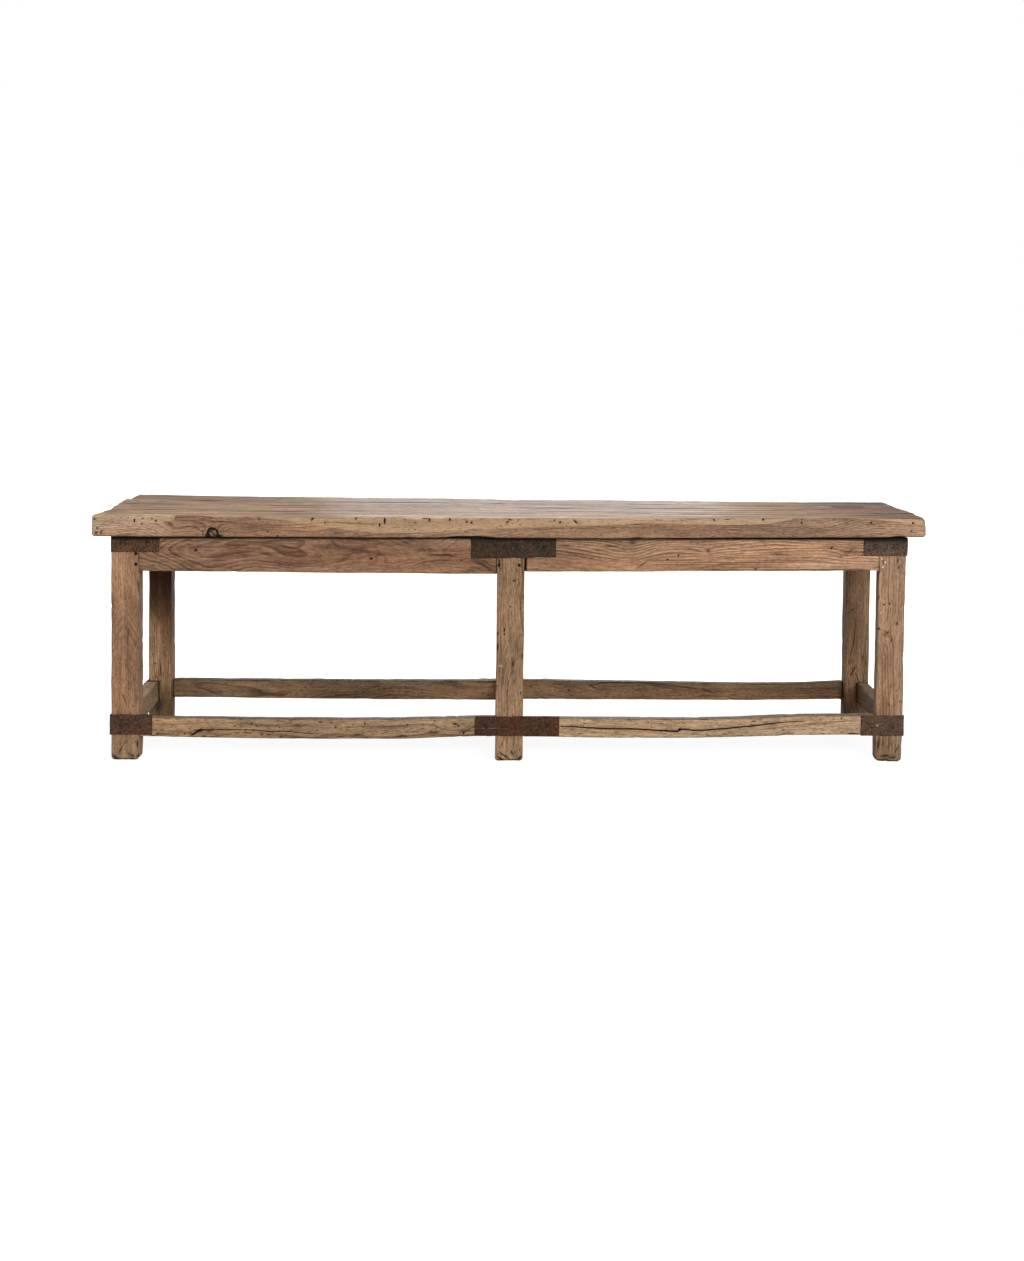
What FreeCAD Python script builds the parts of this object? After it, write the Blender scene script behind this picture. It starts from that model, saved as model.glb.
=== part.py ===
import FreeCAD, Part
import os

from FreeCAD import Placement, Rotation, Vector

# Six-legged refectory table of reclaimed timber, bound at its joints with iron straps.
# +X runs along the table, +Y from its front to its back, +Z up. The origin is on the floor under
# the middle of the top. All lengths are millimetres.

# Top: four planks laid side by side, with two let-in repairs
TOP_LENGTH = 2600.0
TOP_HEIGHT = 770.0
PLANK_THICKNESS = 62.0
FRONT_PLANK_WIDTH = 222.0
INNER_FRONT_PLANK_WIDTH = 226.0
INNER_BACK_PLANK_WIDTH = 188.0
BACK_PLANK_WIDTH = 212.0
PLANK_SEAM = 0.8
PLANK_ARRIS = 2.5
PLANK_STAGGER = 22.0
EDGE_PATCH_LENGTH = 90.0
EDGE_PATCH_HEIGHT = 13.0
EDGE_PATCH_DEPTH = 25.0
EDGE_PATCH_FROM_LEFT = 265.0
TOP_PATCH_LENGTH = 110.0
TOP_PATCH_WIDTH = 140.0
TOP_PATCH_DEPTH = 22.0
TOP_PATCH_FROM_RIGHT = 108.0
PATCH_CLEARANCE = 0.3

# How far each plank corner falls short of the full length, as shares of PLANK_STAGGER:
# left end at the front edge and at the back edge, then right end at the front and at the back
PLANK_END_SHARES = {
    "front_plank": (0.1, 1.0, 0.3, 0.1),
    "inner_front_plank": (1.0, 0.4, 0.1, 0.2),
    "inner_back_plank": (0.4, 0.0, 0.3, 0.1),
    "back_plank": (0.6, 0.45, 0.0, 0.0),
}

# Legs and how far the top overhangs them
LEG_WIDTH = 86.0
LEG_DEPTH = 86.0
LEG_ARRIS = 2.5
FOOT_ROUND = 9.0
END_OVERHANG = 60.0
FRONT_OVERHANG = 45.0
BACK_OVERHANG = 40.0

# Rails: aprons under the top, stretchers near the floor, and the rails across the middle
APRON_HEIGHT = 113.0
APRON_THICKNESS = 45.0
STRETCHER_HEIGHT = 62.0
STRETCHER_THICKNESS = 45.0
END_STRETCHER_THICKNESS = 40.0
STRETCHER_LIFT = 82.0
CROSS_RAIL_HEIGHT = 90.0
CROSS_RAIL_THICKNESS = 45.0
RAIL_ARRIS = 2.0

# Pegged mortise and tenon joints
TENON_THICKNESS = 16.0
TENON_WEB = 10.0
TENON_SHOULDER = 10.0
TENON_HAUNCH = 24.0
JOINT_CLEARANCE = 0.2
MORTISE_END_GAP = 2.0
OPEN_JOINT = 4.0
PEG_DIAMETER = 8.0
PEG_LENGTH = 50.0
PEG_RECESS = 5.0
PEG_INSET = 11.0
PEG_LOW_RISE = 22.0
PEG_HIGH_RISE = 56.0

# Iron straps and the nails that hold them
STRAP_THICKNESS = 4.0
STRAP_BEND = 5.0
STRAP_TOP_GAP = 2.0
UPPER_STRAP_HEIGHT = 64.0
LOWER_STRAP_HEIGHT = 64.0
CORNER_STRAP_ARM = 134.0
NARROW_STRAP_HEIGHT = 50.0
NARROW_STRAP_ARM = 153.0
MIDDLE_STRAP_LENGTH = 265.0
UPPER_MIDDLE_STRAP_SHIFT = 10.0
LOWER_MIDDLE_STRAP_SHIFT = 25.0
NAIL_HEAD_DIAMETER = 11.0
NAIL_HEAD_HEIGHT = 2.5
NAIL_SHANK_DIAMETER = 4.0
NAIL_LENGTH = 36.0
NAIL_POINT_LENGTH = 7.0
NAIL_STAGGER = 12.0
NAIL_FROM_CORNER = 33.0
NAIL_FROM_STRAP_END = 36.0
MIDDLE_NAIL_OFFSET = 20.0

# Battens under the planks and the screws that hold the planks down
BATTEN_WIDTH = 70.0
BATTEN_HEIGHT = 45.0
BATTEN_HOUSING = 12.0
SCREW_HEAD_DIAMETER = 10.0
SCREW_HEAD_HEIGHT = 3.0
SCREW_SHANK_DIAMETER = 5.0
SCREW_BITE = 38.0

FASTENER_CLEARANCE = 0.1
CUT_OVERRUN = 5.0
ALONG_AXIS_SHARE = 0.001

# Sizes that follow from the ones above
PLANK_WIDTHS = {
    "front_plank": FRONT_PLANK_WIDTH,
    "inner_front_plank": INNER_FRONT_PLANK_WIDTH,
    "inner_back_plank": INNER_BACK_PLANK_WIDTH,
    "back_plank": BACK_PLANK_WIDTH,
}
TOP_DEPTH = sum(PLANK_WIDTHS.values()) + PLANK_SEAM * (len(PLANK_WIDTHS) - 1)
TOP_LEFT, TOP_RIGHT = -TOP_LENGTH / 2, TOP_LENGTH / 2
TOP_FRONT, TOP_BACK = -TOP_DEPTH / 2, TOP_DEPTH / 2
TOP_UNDERSIDE = TOP_HEIGHT - PLANK_THICKNESS
FRAME_LEFT, FRAME_RIGHT = TOP_LEFT + END_OVERHANG, TOP_RIGHT - END_OVERHANG
FRAME_FRONT, FRAME_BACK = TOP_FRONT + FRONT_OVERHANG, TOP_BACK - BACK_OVERHANG
LONG_TENON_LENGTH = (LEG_WIDTH - TENON_WEB) / 2 - MORTISE_END_GAP
LONG_TENON_REACH = (max(APRON_THICKNESS, STRETCHER_THICKNESS) + TENON_THICKNESS) / 2
CROSS_TENON_LENGTH = LEG_DEPTH - LONG_TENON_REACH - TENON_WEB - MORTISE_END_GAP
APRON_SPAN = (TOP_UNDERSIDE - APRON_HEIGHT, TOP_UNDERSIDE)
CROSS_RAIL_SPAN = (TOP_UNDERSIDE - CROSS_RAIL_HEIGHT, TOP_UNDERSIDE)
STRETCHER_SPAN = (STRETCHER_LIFT, STRETCHER_LIFT + STRETCHER_HEIGHT)
LEG_RUNS = {
    "left": (FRAME_LEFT, FRAME_LEFT + LEG_WIDTH),
    "middle": (-LEG_WIDTH / 2, LEG_WIDTH / 2),
    "right": (FRAME_RIGHT - LEG_WIDTH, FRAME_RIGHT),
}
LEG_ROWS = {
    "front": (FRAME_FRONT, FRAME_FRONT + LEG_DEPTH),
    "back": (FRAME_BACK - LEG_DEPTH, FRAME_BACK),
}
LOWER_STRAP_LIFT = STRETCHER_LIFT + (STRETCHER_HEIGHT - LOWER_STRAP_HEIGHT) / 2
LOWER_STRAP_SPAN = (LOWER_STRAP_LIFT, LOWER_STRAP_LIFT + LOWER_STRAP_HEIGHT)
STRAP_TOP = TOP_UNDERSIDE - STRAP_TOP_GAP
X_AXIS, Y_AXIS, Z_AXIS = Vector(1, 0, 0), Vector(0, 1, 0), Vector(0, 0, 1)
BAYS = {"left": ("left", "middle"), "right": ("middle", "right")}

solids = {}
cuts = {}


def block(x_span, y_span, z_span):
    """A box from its low and high limits along each axis."""
    corner = Vector(x_span[0], y_span[0], z_span[0])
    size = [high - low for low, high in (x_span, y_span, z_span)]
    return Part.makeBox(*size, corner)


def grown(span, margin):
    """A span widened by a margin at both ends."""
    return (span[0] - margin, span[1] + margin)


def straight_edges(solid, axis):
    """The edges of a box-like solid that run along an axis."""
    return [e for e in solid.Edges if e.tangentAt(e.FirstParameter).cross(axis).Length < ALONG_AXIS_SHARE]


def edge_from(solid, axis, point):
    """The edge of a solid that runs along an axis and starts or ends at a point."""
    corner = Part.Vertex(point)
    return [e for e in straight_edges(solid, axis) if e.distToShape(corner)[0] < ALONG_AXIS_SHARE]


def cut_from(names, tool):
    """Notes a tool to be cut from each named piece once every piece is shaped."""
    for name in names:
        cuts.setdefault(name, []).append(tool)


def drill(point, outward, diameter, depth):
    """A cylinder that enters a face at a point and runs to a depth against the outward direction."""
    start = point + outward * CUT_OVERRUN
    return Part.makeCylinder(diameter / 2, depth + CUT_OVERRUN, start, -outward)


def turned(profile):
    """A solid of revolution about Z from (radius, height) points given from the top down."""
    points = [Vector(radius, 0, height) for radius, height in profile]
    outline = Part.makePolygon(points + points[:1])
    return Part.Face(outline).revolve(Vector(0, 0, 0), Z_AXIS, 360)


def placed(solid, point, outward):
    """A copy of a solid made along +Z, moved to a point with its +Z turned to a direction."""
    copy = solid.copy()
    copy.Placement = Placement(point, Rotation(Z_AXIS, outward))
    return copy


def make_legs():
    """Six square posts from the floor to the planks, rounded at the foot and along their corners."""
    for row, y_span in LEG_ROWS.items():
        for place, x_span in LEG_RUNS.items():
            blank = block(x_span, y_span, (0, TOP_UNDERSIDE))
            foot_edges = [e for e in blank.Edges if e.BoundBox.ZMax < FOOT_ROUND]
            eased = blank.makeFillet(LEG_ARRIS, straight_edges(blank, Z_AXIS))
            solids[f"{row}_{place}_leg"] = eased.common(blank.makeFillet(FOOT_ROUND, foot_edges))


def laid_along(axis, run, across, z_span):
    """A box given along and across a rail that runs along the X or the Y axis."""
    return block(run, across, z_span) if axis == X_AXIS else block(across, run, z_span)


def make_rail(name, legs, axis, run, across, z_span, haunch, open_joint=0):
    """A rail between two legs: a body from shoulder to shoulder, and a tenon into each leg.

    run goes from leg face to leg face, haunch is the shoulder above the tenon, and open_joint is a
    gap left between the first leg and the rail's shoulder.
    """
    body = laid_along(axis, (run[0] + open_joint, run[1]), across, z_span)
    rail = body.makeFillet(RAIL_ARRIS, straight_edges(body, axis))
    middle = (across[0] + across[1]) / 2
    cheeks = (middle - TENON_THICKNESS / 2, middle + TENON_THICKNESS / 2)
    tenon_z = (z_span[0] + TENON_SHOULDER, z_span[1] - haunch)
    length = LONG_TENON_LENGTH if axis == X_AXIS else CROSS_TENON_LENGTH
    tenons = ((run[0] - length, run[0] + open_joint), (run[1], run[1] + length))
    pocket_cheeks, pocket_z = grown(cheeks, JOINT_CLEARANCE), grown(tenon_z, JOINT_CLEARANCE)
    for leg, tenon in zip(legs, tenons):
        rail = rail.fuse(laid_along(axis, tenon, cheeks, tenon_z))
        cut_from([leg], laid_along(axis, grown(tenon, MORTISE_END_GAP), pocket_cheeks, pocket_z))
    solids[name] = rail.removeSplitter()


def flush(outer_face, thickness):
    """The span of a rail whose outer side lies on an outer face of the frame."""
    return (outer_face, outer_face + thickness) if outer_face < 0 else (outer_face - thickness, outer_face)


def make_long_rails():
    """Aprons and stretchers along the front and the back, two of each per side, left and right."""
    for row, face in (("front", FRAME_FRONT), ("back", FRAME_BACK)):
        for side, (first, second) in BAYS.items():
            legs = [f"{row}_{first}_leg", f"{row}_{second}_leg"]
            run = (LEG_RUNS[first][1], LEG_RUNS[second][0])
            gap = OPEN_JOINT if (row, side) == ("front", "right") else 0
            across = flush(face, APRON_THICKNESS)
            make_rail(f"{row}_{side}_apron", legs, X_AXIS, run, across, APRON_SPAN, TENON_HAUNCH, gap)
            across = flush(face, STRETCHER_THICKNESS)
            make_rail(f"{row}_{side}_stretcher", legs, X_AXIS, run, across, STRETCHER_SPAN, TENON_SHOULDER)


def make_short_rails():
    """Aprons and stretchers across both ends, and the two rails that tie the middle legs together."""
    run = (LEG_ROWS["front"][1], LEG_ROWS["back"][0])
    for side, face in (("left", FRAME_LEFT), ("right", FRAME_RIGHT)):
        legs = [f"front_{side}_leg", f"back_{side}_leg"]
        across = flush(face, APRON_THICKNESS)
        make_rail(f"{side}_end_apron", legs, Y_AXIS, run, across, APRON_SPAN, TENON_HAUNCH)
        across = flush(face, END_STRETCHER_THICKNESS)
        make_rail(f"{side}_end_stretcher", legs, Y_AXIS, run, across, STRETCHER_SPAN, TENON_SHOULDER)
    legs = ["front_middle_leg", "back_middle_leg"]
    across = (-CROSS_RAIL_THICKNESS / 2, CROSS_RAIL_THICKNESS / 2)
    make_rail("middle_cross_rail", legs, Y_AXIS, run, across, CROSS_RAIL_SPAN, TENON_HAUNCH)
    across = (-END_STRETCHER_THICKNESS / 2, END_STRETCHER_THICKNESS / 2)
    make_rail("middle_cross_stretcher", legs, Y_AXIS, run, across, STRETCHER_SPAN, TENON_SHOULDER)


def make_pegs():
    """Wooden pegs through the apron tenons, sunk below the outer faces of the legs."""
    peg = Part.makeCylinder(PEG_DIAMETER / 2, PEG_LENGTH, Vector(0, 0, -PEG_RECESS - PEG_LENGTH))
    hole = PEG_DIAMETER + 2 * FASTENER_CLEARANCE
    seats = []
    for row, face, outward in (("front", FRAME_FRONT, -Y_AXIS), ("back", FRAME_BACK, Y_AXIS)):
        for side, (first, second) in BAYS.items():
            apron = f"{row}_{side}_apron"
            left, right = LEG_RUNS[first][1] - PEG_INSET, LEG_RUNS[second][0] + PEG_INSET
            seats.append((Vector(left, face, 0), outward, f"{row}_{first}_leg", apron))
            seats.append((Vector(right, face, 0), outward, f"{row}_{second}_leg", apron))
    for side, face, outward in (("left", FRAME_LEFT, -X_AXIS), ("right", FRAME_RIGHT, X_AXIS)):
        apron = f"{side}_end_apron"
        front, back = LEG_ROWS["front"][1] - PEG_INSET, LEG_ROWS["back"][0] + PEG_INSET
        seats.append((Vector(face, front, 0), outward, f"front_{side}_leg", apron))
        seats.append((Vector(face, back, 0), outward, f"back_{side}_leg", apron))
    pegs = []
    for seat, outward, leg, apron in seats:
        for rise in (PEG_LOW_RISE, PEG_HIGH_RISE):
            point = seat + Z_AXIS * (APRON_SPAN[0] + rise)
            pegs.append(placed(peg, point, outward))
            cut_from([leg, apron], drill(point, outward, hole, PEG_RECESS + PEG_LENGTH))
    solids["joint_pegs"] = Part.makeCompound(pegs)


def nail_blank():
    """A forged nail along +Z: a low coned head that sits on the strap, a shank and a point."""
    head, shank = NAIL_HEAD_DIAMETER / 2, NAIL_SHANK_DIAMETER / 2
    tip = -NAIL_LENGTH
    return turned([
        (0, NAIL_HEAD_HEIGHT), (shank, NAIL_HEAD_HEIGHT), (head, 0),
        (shank, 0), (shank, tip + NAIL_POINT_LENGTH), (0, tip),
    ])


def make_straps():
    """Iron straps round the four corners and across the middle legs, high and low, with their nails."""
    nail = nail_blank()
    nails = []

    def nail_down(strap, woods, point, outward):
        """A nail through a strap into the leg and rails behind it, with a hole in each."""
        nails.append(placed(nail, point, outward))
        hole = NAIL_SHANK_DIAMETER + 2 * FASTENER_CLEARANCE
        cut_from([strap, *woods], drill(point, outward, hole, NAIL_LENGTH))

    def corner_strap(name, woods, x_side, y_side, arm, z_span):
        """An angle of flat bar with one arm along the long side and one along the end."""
        end_face = FRAME_LEFT if x_side < 0 else FRAME_RIGHT
        long_face = FRAME_FRONT if y_side < 0 else FRAME_BACK
        outer_x, outer_y = end_face + x_side * STRAP_THICKNESS, long_face + y_side * STRAP_THICKNESS
        tip_x, tip_y = end_face - x_side * arm, long_face - y_side * arm
        long_arm = block(sorted((outer_x, tip_x)), sorted((outer_y, long_face)), z_span)
        end_arm = block(sorted((outer_x, end_face)), sorted((outer_y, tip_y)), z_span)
        angle = long_arm.fuse(end_arm).removeSplitter()
        bend = edge_from(angle, Z_AXIS, Vector(outer_x, outer_y, z_span[0]))
        solids[name] = angle.makeFillet(STRAP_BEND, bend)
        middle = sum(z_span) / 2
        for distance in (NAIL_FROM_CORNER, arm - NAIL_FROM_STRAP_END):
            along_x, along_y = end_face - x_side * distance, long_face - y_side * distance
            nail_down(name, woods, Vector(along_x, outer_y, middle), Y_AXIS * y_side)
            nail_down(name, woods, Vector(outer_x, along_y, middle - NAIL_STAGGER), X_AXIS * x_side)

    def middle_strap(name, woods, y_side, shift, z_span):
        """A flat bar across a middle leg and the two rails that meet it."""
        long_face = FRAME_FRONT if y_side < 0 else FRAME_BACK
        outer_y = long_face + y_side * STRAP_THICKNESS
        x_span = grown((shift, shift), MIDDLE_STRAP_LENGTH / 2)
        solids[name] = block(x_span, sorted((outer_y, long_face)), z_span)
        middle = sum(z_span) / 2
        ends = grown(x_span, -NAIL_FROM_STRAP_END)
        for x in (*ends, -MIDDLE_NAIL_OFFSET, MIDDLE_NAIL_OFFSET):
            nail_down(name, woods, Vector(x, outer_y, middle), Y_AXIS * y_side)

    for row, y_side in (("front", -1), ("back", 1)):
        for side, x_side in (("left", -1), ("right", 1)):
            narrow = (row, side) == ("front", "left")
            height = NARROW_STRAP_HEIGHT if narrow else UPPER_STRAP_HEIGHT
            arm = NARROW_STRAP_ARM if narrow else CORNER_STRAP_ARM
            leg = f"{row}_{side}_leg"
            upper = [leg, f"{row}_{side}_apron", f"{side}_end_apron"]
            lower = [leg, f"{row}_{side}_stretcher", f"{side}_end_stretcher"]
            upper_span = (STRAP_TOP - height, STRAP_TOP)
            corner = f"{row}_{side}"
            corner_strap(f"{corner}_upper_strap", upper, x_side, y_side, arm, upper_span)
            corner_strap(f"{corner}_lower_strap", lower, x_side, y_side, CORNER_STRAP_ARM, LOWER_STRAP_SPAN)
        leg = f"{row}_middle_leg"
        upper = [leg, f"{row}_left_apron", f"{row}_right_apron"]
        lower = [leg, f"{row}_left_stretcher", f"{row}_right_stretcher"]
        upper_span = (STRAP_TOP - UPPER_STRAP_HEIGHT, STRAP_TOP)
        middle_strap(f"{row}_middle_upper_strap", upper, y_side, UPPER_MIDDLE_STRAP_SHIFT, upper_span)
        middle_strap(f"{row}_middle_lower_strap", lower, y_side, LOWER_MIDDLE_STRAP_SHIFT, LOWER_STRAP_SPAN)
    solids["strap_nails"] = Part.makeCompound(nails)


def plank_rows():
    """The span from front to back that each plank takes, seams left between them."""
    rows, front = {}, TOP_FRONT
    for name, width in PLANK_WIDTHS.items():
        rows[name] = (front, front + width)
        front += width + PLANK_SEAM
    return rows


def make_planks():
    """The four planks of the top, each with its own slightly skewed ends and eased edges."""
    for name, (front, back) in plank_rows().items():
        shortfalls = [share * PLANK_STAGGER for share in PLANK_END_SHARES[name]]
        left_front, left_back, right_front, right_back = shortfalls
        corners = [
            Vector(TOP_LEFT + left_front, front, TOP_UNDERSIDE),
            Vector(TOP_RIGHT - right_front, front, TOP_UNDERSIDE),
            Vector(TOP_RIGHT - right_back, back, TOP_UNDERSIDE),
            Vector(TOP_LEFT + left_back, back, TOP_UNDERSIDE),
        ]
        outline = Part.makePolygon(corners + corners[:1])
        plank = Part.Face(outline).extrude(Z_AXIS * PLANK_THICKNESS)
        solids[name] = plank.makeFillet(PLANK_ARRIS, plank.Edges)


def make_patches():
    """Two let-in repairs: one in the front edge near the left end, one in the top near the right end."""
    left = TOP_LEFT + EDGE_PATCH_FROM_LEFT
    x_span = (left, left + EDGE_PATCH_LENGTH)
    y_span = (TOP_FRONT, TOP_FRONT + EDGE_PATCH_DEPTH)
    z_span = (TOP_HEIGHT - EDGE_PATCH_HEIGHT, TOP_HEIGHT)
    cut_from(["front_plank"], block(
        x_span, (y_span[0] - CUT_OVERRUN, y_span[1]), (z_span[0], z_span[1] + CUT_OVERRUN)))
    patch = block(grown(x_span, -PATCH_CLEARANCE), (y_span[0], y_span[1] - PATCH_CLEARANCE), z_span)
    outer_corner = Vector(x_span[0] + PATCH_CLEARANCE, y_span[0], z_span[1])
    solids["front_edge_patch"] = patch.makeFillet(PLANK_ARRIS, edge_from(patch, X_AXIS, outer_corner))

    right = TOP_RIGHT - TOP_PATCH_FROM_RIGHT
    x_span = (right - TOP_PATCH_LENGTH, right)
    seat = sum(plank_rows()["inner_back_plank"]) / 2
    y_span = grown((seat, seat), TOP_PATCH_WIDTH / 2)
    z_span = (TOP_HEIGHT - TOP_PATCH_DEPTH, TOP_HEIGHT)
    cut_from(["inner_back_plank"], block(x_span, y_span, (z_span[0], z_span[1] + CUT_OVERRUN)))
    solids["top_patch"] = block(grown(x_span, -PATCH_CLEARANCE), grown(y_span, -PATCH_CLEARANCE), z_span)


def make_battens():
    """A batten under the planks in each bay, housed in the aprons and screwed up into every plank."""
    y_span = (FRAME_FRONT + APRON_THICKNESS - BATTEN_HOUSING, FRAME_BACK - APRON_THICKNESS + BATTEN_HOUSING)
    z_span = (TOP_UNDERSIDE - BATTEN_HEIGHT, TOP_UNDERSIDE)
    head, shank = SCREW_HEAD_DIAMETER / 2, SCREW_SHANK_DIAMETER / 2
    length = BATTEN_HEIGHT + SCREW_BITE
    screw = turned([(0, 0), (head, 0), (shank, -SCREW_HEAD_HEIGHT), (shank, -length), (0, -length)])
    head_room, shank_room = head + FASTENER_CLEARANCE, shank + FASTENER_CLEARANCE
    sink = turned([
        (0, CUT_OVERRUN), (head_room, CUT_OVERRUN), (head_room, 0), (shank_room, -SCREW_HEAD_HEIGHT),
        (shank_room, -length), (0, -length),
    ])
    screws = []
    for side, (first, second) in BAYS.items():
        bay_middle = (LEG_RUNS[first][1] + LEG_RUNS[second][0]) / 2
        x_span = grown((bay_middle, bay_middle), BATTEN_WIDTH / 2)
        name = f"{side}_batten"
        solids[name] = block(x_span, y_span, z_span)
        housing_z = (z_span[0], z_span[1] + CUT_OVERRUN)
        housing = block(grown(x_span, JOINT_CLEARANCE), grown(y_span, JOINT_CLEARANCE), housing_z)
        cut_from([f"front_{side}_apron", f"back_{side}_apron"], housing)
        for plank, row in plank_rows().items():
            inner = (max(row[0], y_span[0]), min(row[1], y_span[1]))
            point = Vector(bay_middle, sum(inner) / 2, z_span[0])
            screws.append(placed(screw, point, -Z_AXIS))
            cut_from([name, plank], placed(sink, point, -Z_AXIS))
    solids["batten_screws"] = Part.makeCompound(screws)


def main():
    make_legs()
    make_long_rails()
    make_short_rails()
    make_pegs()
    make_straps()
    make_planks()
    make_patches()
    make_battens()
    os.makedirs("parts", exist_ok=True)
    for name, solid in solids.items():
        if name in cuts:
            solid = solid.cut(cuts[name])
        solid.exportStep(os.path.join("parts", f"{name}.step"))
        state = "valid" if solid.isValid() else "not valid"
        print(f"{name}: {len(solid.Solids)} solids, {solid.Volume:.0f} cubic mm, {state}")


main()
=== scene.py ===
import bpy
import numpy as np
from mathutils import Matrix, Vector


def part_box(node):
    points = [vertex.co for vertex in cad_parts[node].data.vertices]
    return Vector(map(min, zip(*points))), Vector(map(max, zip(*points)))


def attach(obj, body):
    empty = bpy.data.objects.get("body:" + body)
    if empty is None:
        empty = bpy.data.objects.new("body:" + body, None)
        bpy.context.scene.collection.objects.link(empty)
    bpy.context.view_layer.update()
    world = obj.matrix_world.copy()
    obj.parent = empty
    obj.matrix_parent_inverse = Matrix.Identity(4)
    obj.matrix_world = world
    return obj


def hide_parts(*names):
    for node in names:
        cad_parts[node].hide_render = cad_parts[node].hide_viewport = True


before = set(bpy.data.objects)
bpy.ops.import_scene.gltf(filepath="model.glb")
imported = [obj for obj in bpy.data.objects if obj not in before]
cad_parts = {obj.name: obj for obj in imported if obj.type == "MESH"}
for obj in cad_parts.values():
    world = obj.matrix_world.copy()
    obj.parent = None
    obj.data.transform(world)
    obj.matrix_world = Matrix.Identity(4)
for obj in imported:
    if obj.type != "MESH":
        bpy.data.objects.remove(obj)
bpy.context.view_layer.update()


def box(node):
    """The lowest and highest corner of a CAD node, as arrays in metres."""
    return tuple(np.array(corner, float).round(6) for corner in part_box(node))


# Faces of the CAD part, in metres: the legs' outer and inner faces, and the top. Straps are of one thickness.
FRAME_LEFT, FRAME_FRONT = box("front_left_leg")[0][:2]
INNER_LEFT, INNER_FRONT = box("front_left_leg")[1][:2]
INNER_RIGHT, INNER_BACK = box("back_right_leg")[0][:2]
FRAME_RIGHT, FRAME_BACK = box("back_right_leg")[1][:2]
LEG = INNER_LEFT - FRAME_LEFT
TOP_FRONT, TOP_LOW = box("front_plank")[0][1:]
TOP_END, TOP_BACK, TOP_HIGH = box("back_plank")[1]
STRAP = 0.004
FORWARD, UPWARD = (0, -1, 0), (0, 0, 1)

# How far the standing columns lean: shift of x at the two heights, for the left, middle and right legs.
LEAN_HEIGHTS = (0.05, 0.63)
LEAN_COLUMNS = (-1.197, 0.0, 1.197)
LEAN_LOW = (-0.0066, 0.0017, -0.0070)
LEAN_LOW_BACK = (-0.0066, 0.0017, -0.0022)
LEAN_HIGH = (-0.0019, 0.0064, 0.0)

# Grid lines next to an edge, as distances from it. Lines nearer than this to an extra one are left out.
FINE_EDGE = (0, 0.0007, 0.0017, 0.0031, 0.0050, 0.0080)
PLAIN_EDGE = (0, 0.0012, 0.0030, 0.0065)
TOO_NEAR = 0.0005


def held(values):
    """Values held between 0 and 1."""
    return np.clip(values, 0, 1)


def ramp(values, start, run):
    """Nothing at a start, one a run further on, and straight between; a run below 0 goes the other way."""
    return held((values - start) / run)


def hump(away, reach):
    """One where away is nothing, and next to nothing two reaches off: e to minus its square in reaches."""
    return np.exp(-((away / reach) ** 2))


def read_off(rows, place):
    """Values at places, read off rows of place and value with straight lines between them."""
    return np.interp(place, *np.array(rows).T)


def knots(rows, face):
    """Knots in a front face, from rows of x, height, reach along x, y and z, and rise in rings."""
    return [((x, face, z), reach, rise) for x, z, *reach, rise in rows]


def leaned(point):
    """Moves points along x as the frame leans: straight in height between two levels, and from leg to leg."""
    x, y, z = point.T
    deep = held((y - FRAME_FRONT) / (FRAME_BACK - FRAME_FRONT))
    low = np.interp(x, LEAN_COLUMNS, LEAN_LOW)
    low += deep * (np.interp(x, LEAN_COLUMNS, LEAN_LOW_BACK) - low)
    high = np.interp(x, LEAN_COLUMNS, LEAN_HIGH)
    share = (z - LEAN_HEIGHTS[0]) / (LEAN_HEIGHTS[1] - LEAN_HEIGHTS[0])
    moved = point.copy()
    moved[:, 0] += low + (high - low) * share
    return moved


def raised(low, high, along, edges):
    """A move that lifts a rail's lower and upper edges by rows of edges, then leans it with the frame."""
    place, under, over = np.array(edges).T

    def move(point):
        share = (point[:, 2] - low) / (high - low)
        moved = point.copy()
        moved[:, 2] += np.interp(point[:, along], place, under) * (1 - share)
        moved[:, 2] += np.interp(point[:, along], place, over) * share
        return leaned(moved)

    return move


def waves(point, size, seed, count=14):
    """Smooth noise, mostly from -1 to 1: a sum of cosine waves of seeded way and phase, one to a size."""
    rng = np.random.default_rng(seed)
    scaled = np.atleast_2d(point) / np.asarray(size, float)
    way = rng.normal(size=(count, scaled.shape[1]))
    way *= rng.uniform(0.5, 1.5, (count, 1)) / np.linalg.norm(way, axis=1, keepdims=True)
    phase = rng.uniform(0, 2 * np.pi, count)
    return np.cos(2 * np.pi * scaled @ way.T + phase).sum(1) / np.sqrt(2 * count)


def lines(low, high, step, extra, margin):
    """Places from low to high about a step apart, closer at both ends, with the extra places among them."""
    edge = np.array(margin)
    count = max(2, int(round((high - low - 2 * edge[-1]) / step)) + 1)
    inner = np.linspace(low + edge[-1], high - edge[-1], count)
    base = np.concatenate((low + edge[:-1], inner, high - edge[:-1]))
    extra = np.asarray(extra, float)
    if extra.size:
        free = np.abs(base[:, None] - extra).min(1) > TOO_NEAR
        base = base[free | (base == low) | (base == high)]
    return np.unique(np.concatenate((base, extra)))


def lattice(x, y, z):
    """The skin of a box as a grid: points where lines in x, y and z cross on it, and quads that face out."""
    index = np.full((len(x), len(y), len(z)), -1)
    outside = np.zeros(index.shape, bool)
    outside[[0, -1]] = outside[:, [0, -1]] = outside[:, :, [0, -1]] = True
    index[outside] = np.arange(outside.sum())
    i, j, k = np.nonzero(outside)

    def quads(sheet, turned):
        corners = (sheet[:-1, :-1], sheet[1:, :-1], sheet[1:, 1:], sheet[:-1, 1:])
        found = np.stack(corners, -1).reshape(-1, 4)
        return found[:, ::-1] if turned else found

    faces = (
        quads(index[0], True), quads(index[-1], False),
        quads(index[:, 0], False), quads(index[:, -1], True),
        quads(index[:, :, 0], True), quads(index[:, :, -1], False),
    )
    return np.stack((x[i], y[j], z[k]), 1), np.concatenate(faces)


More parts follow.
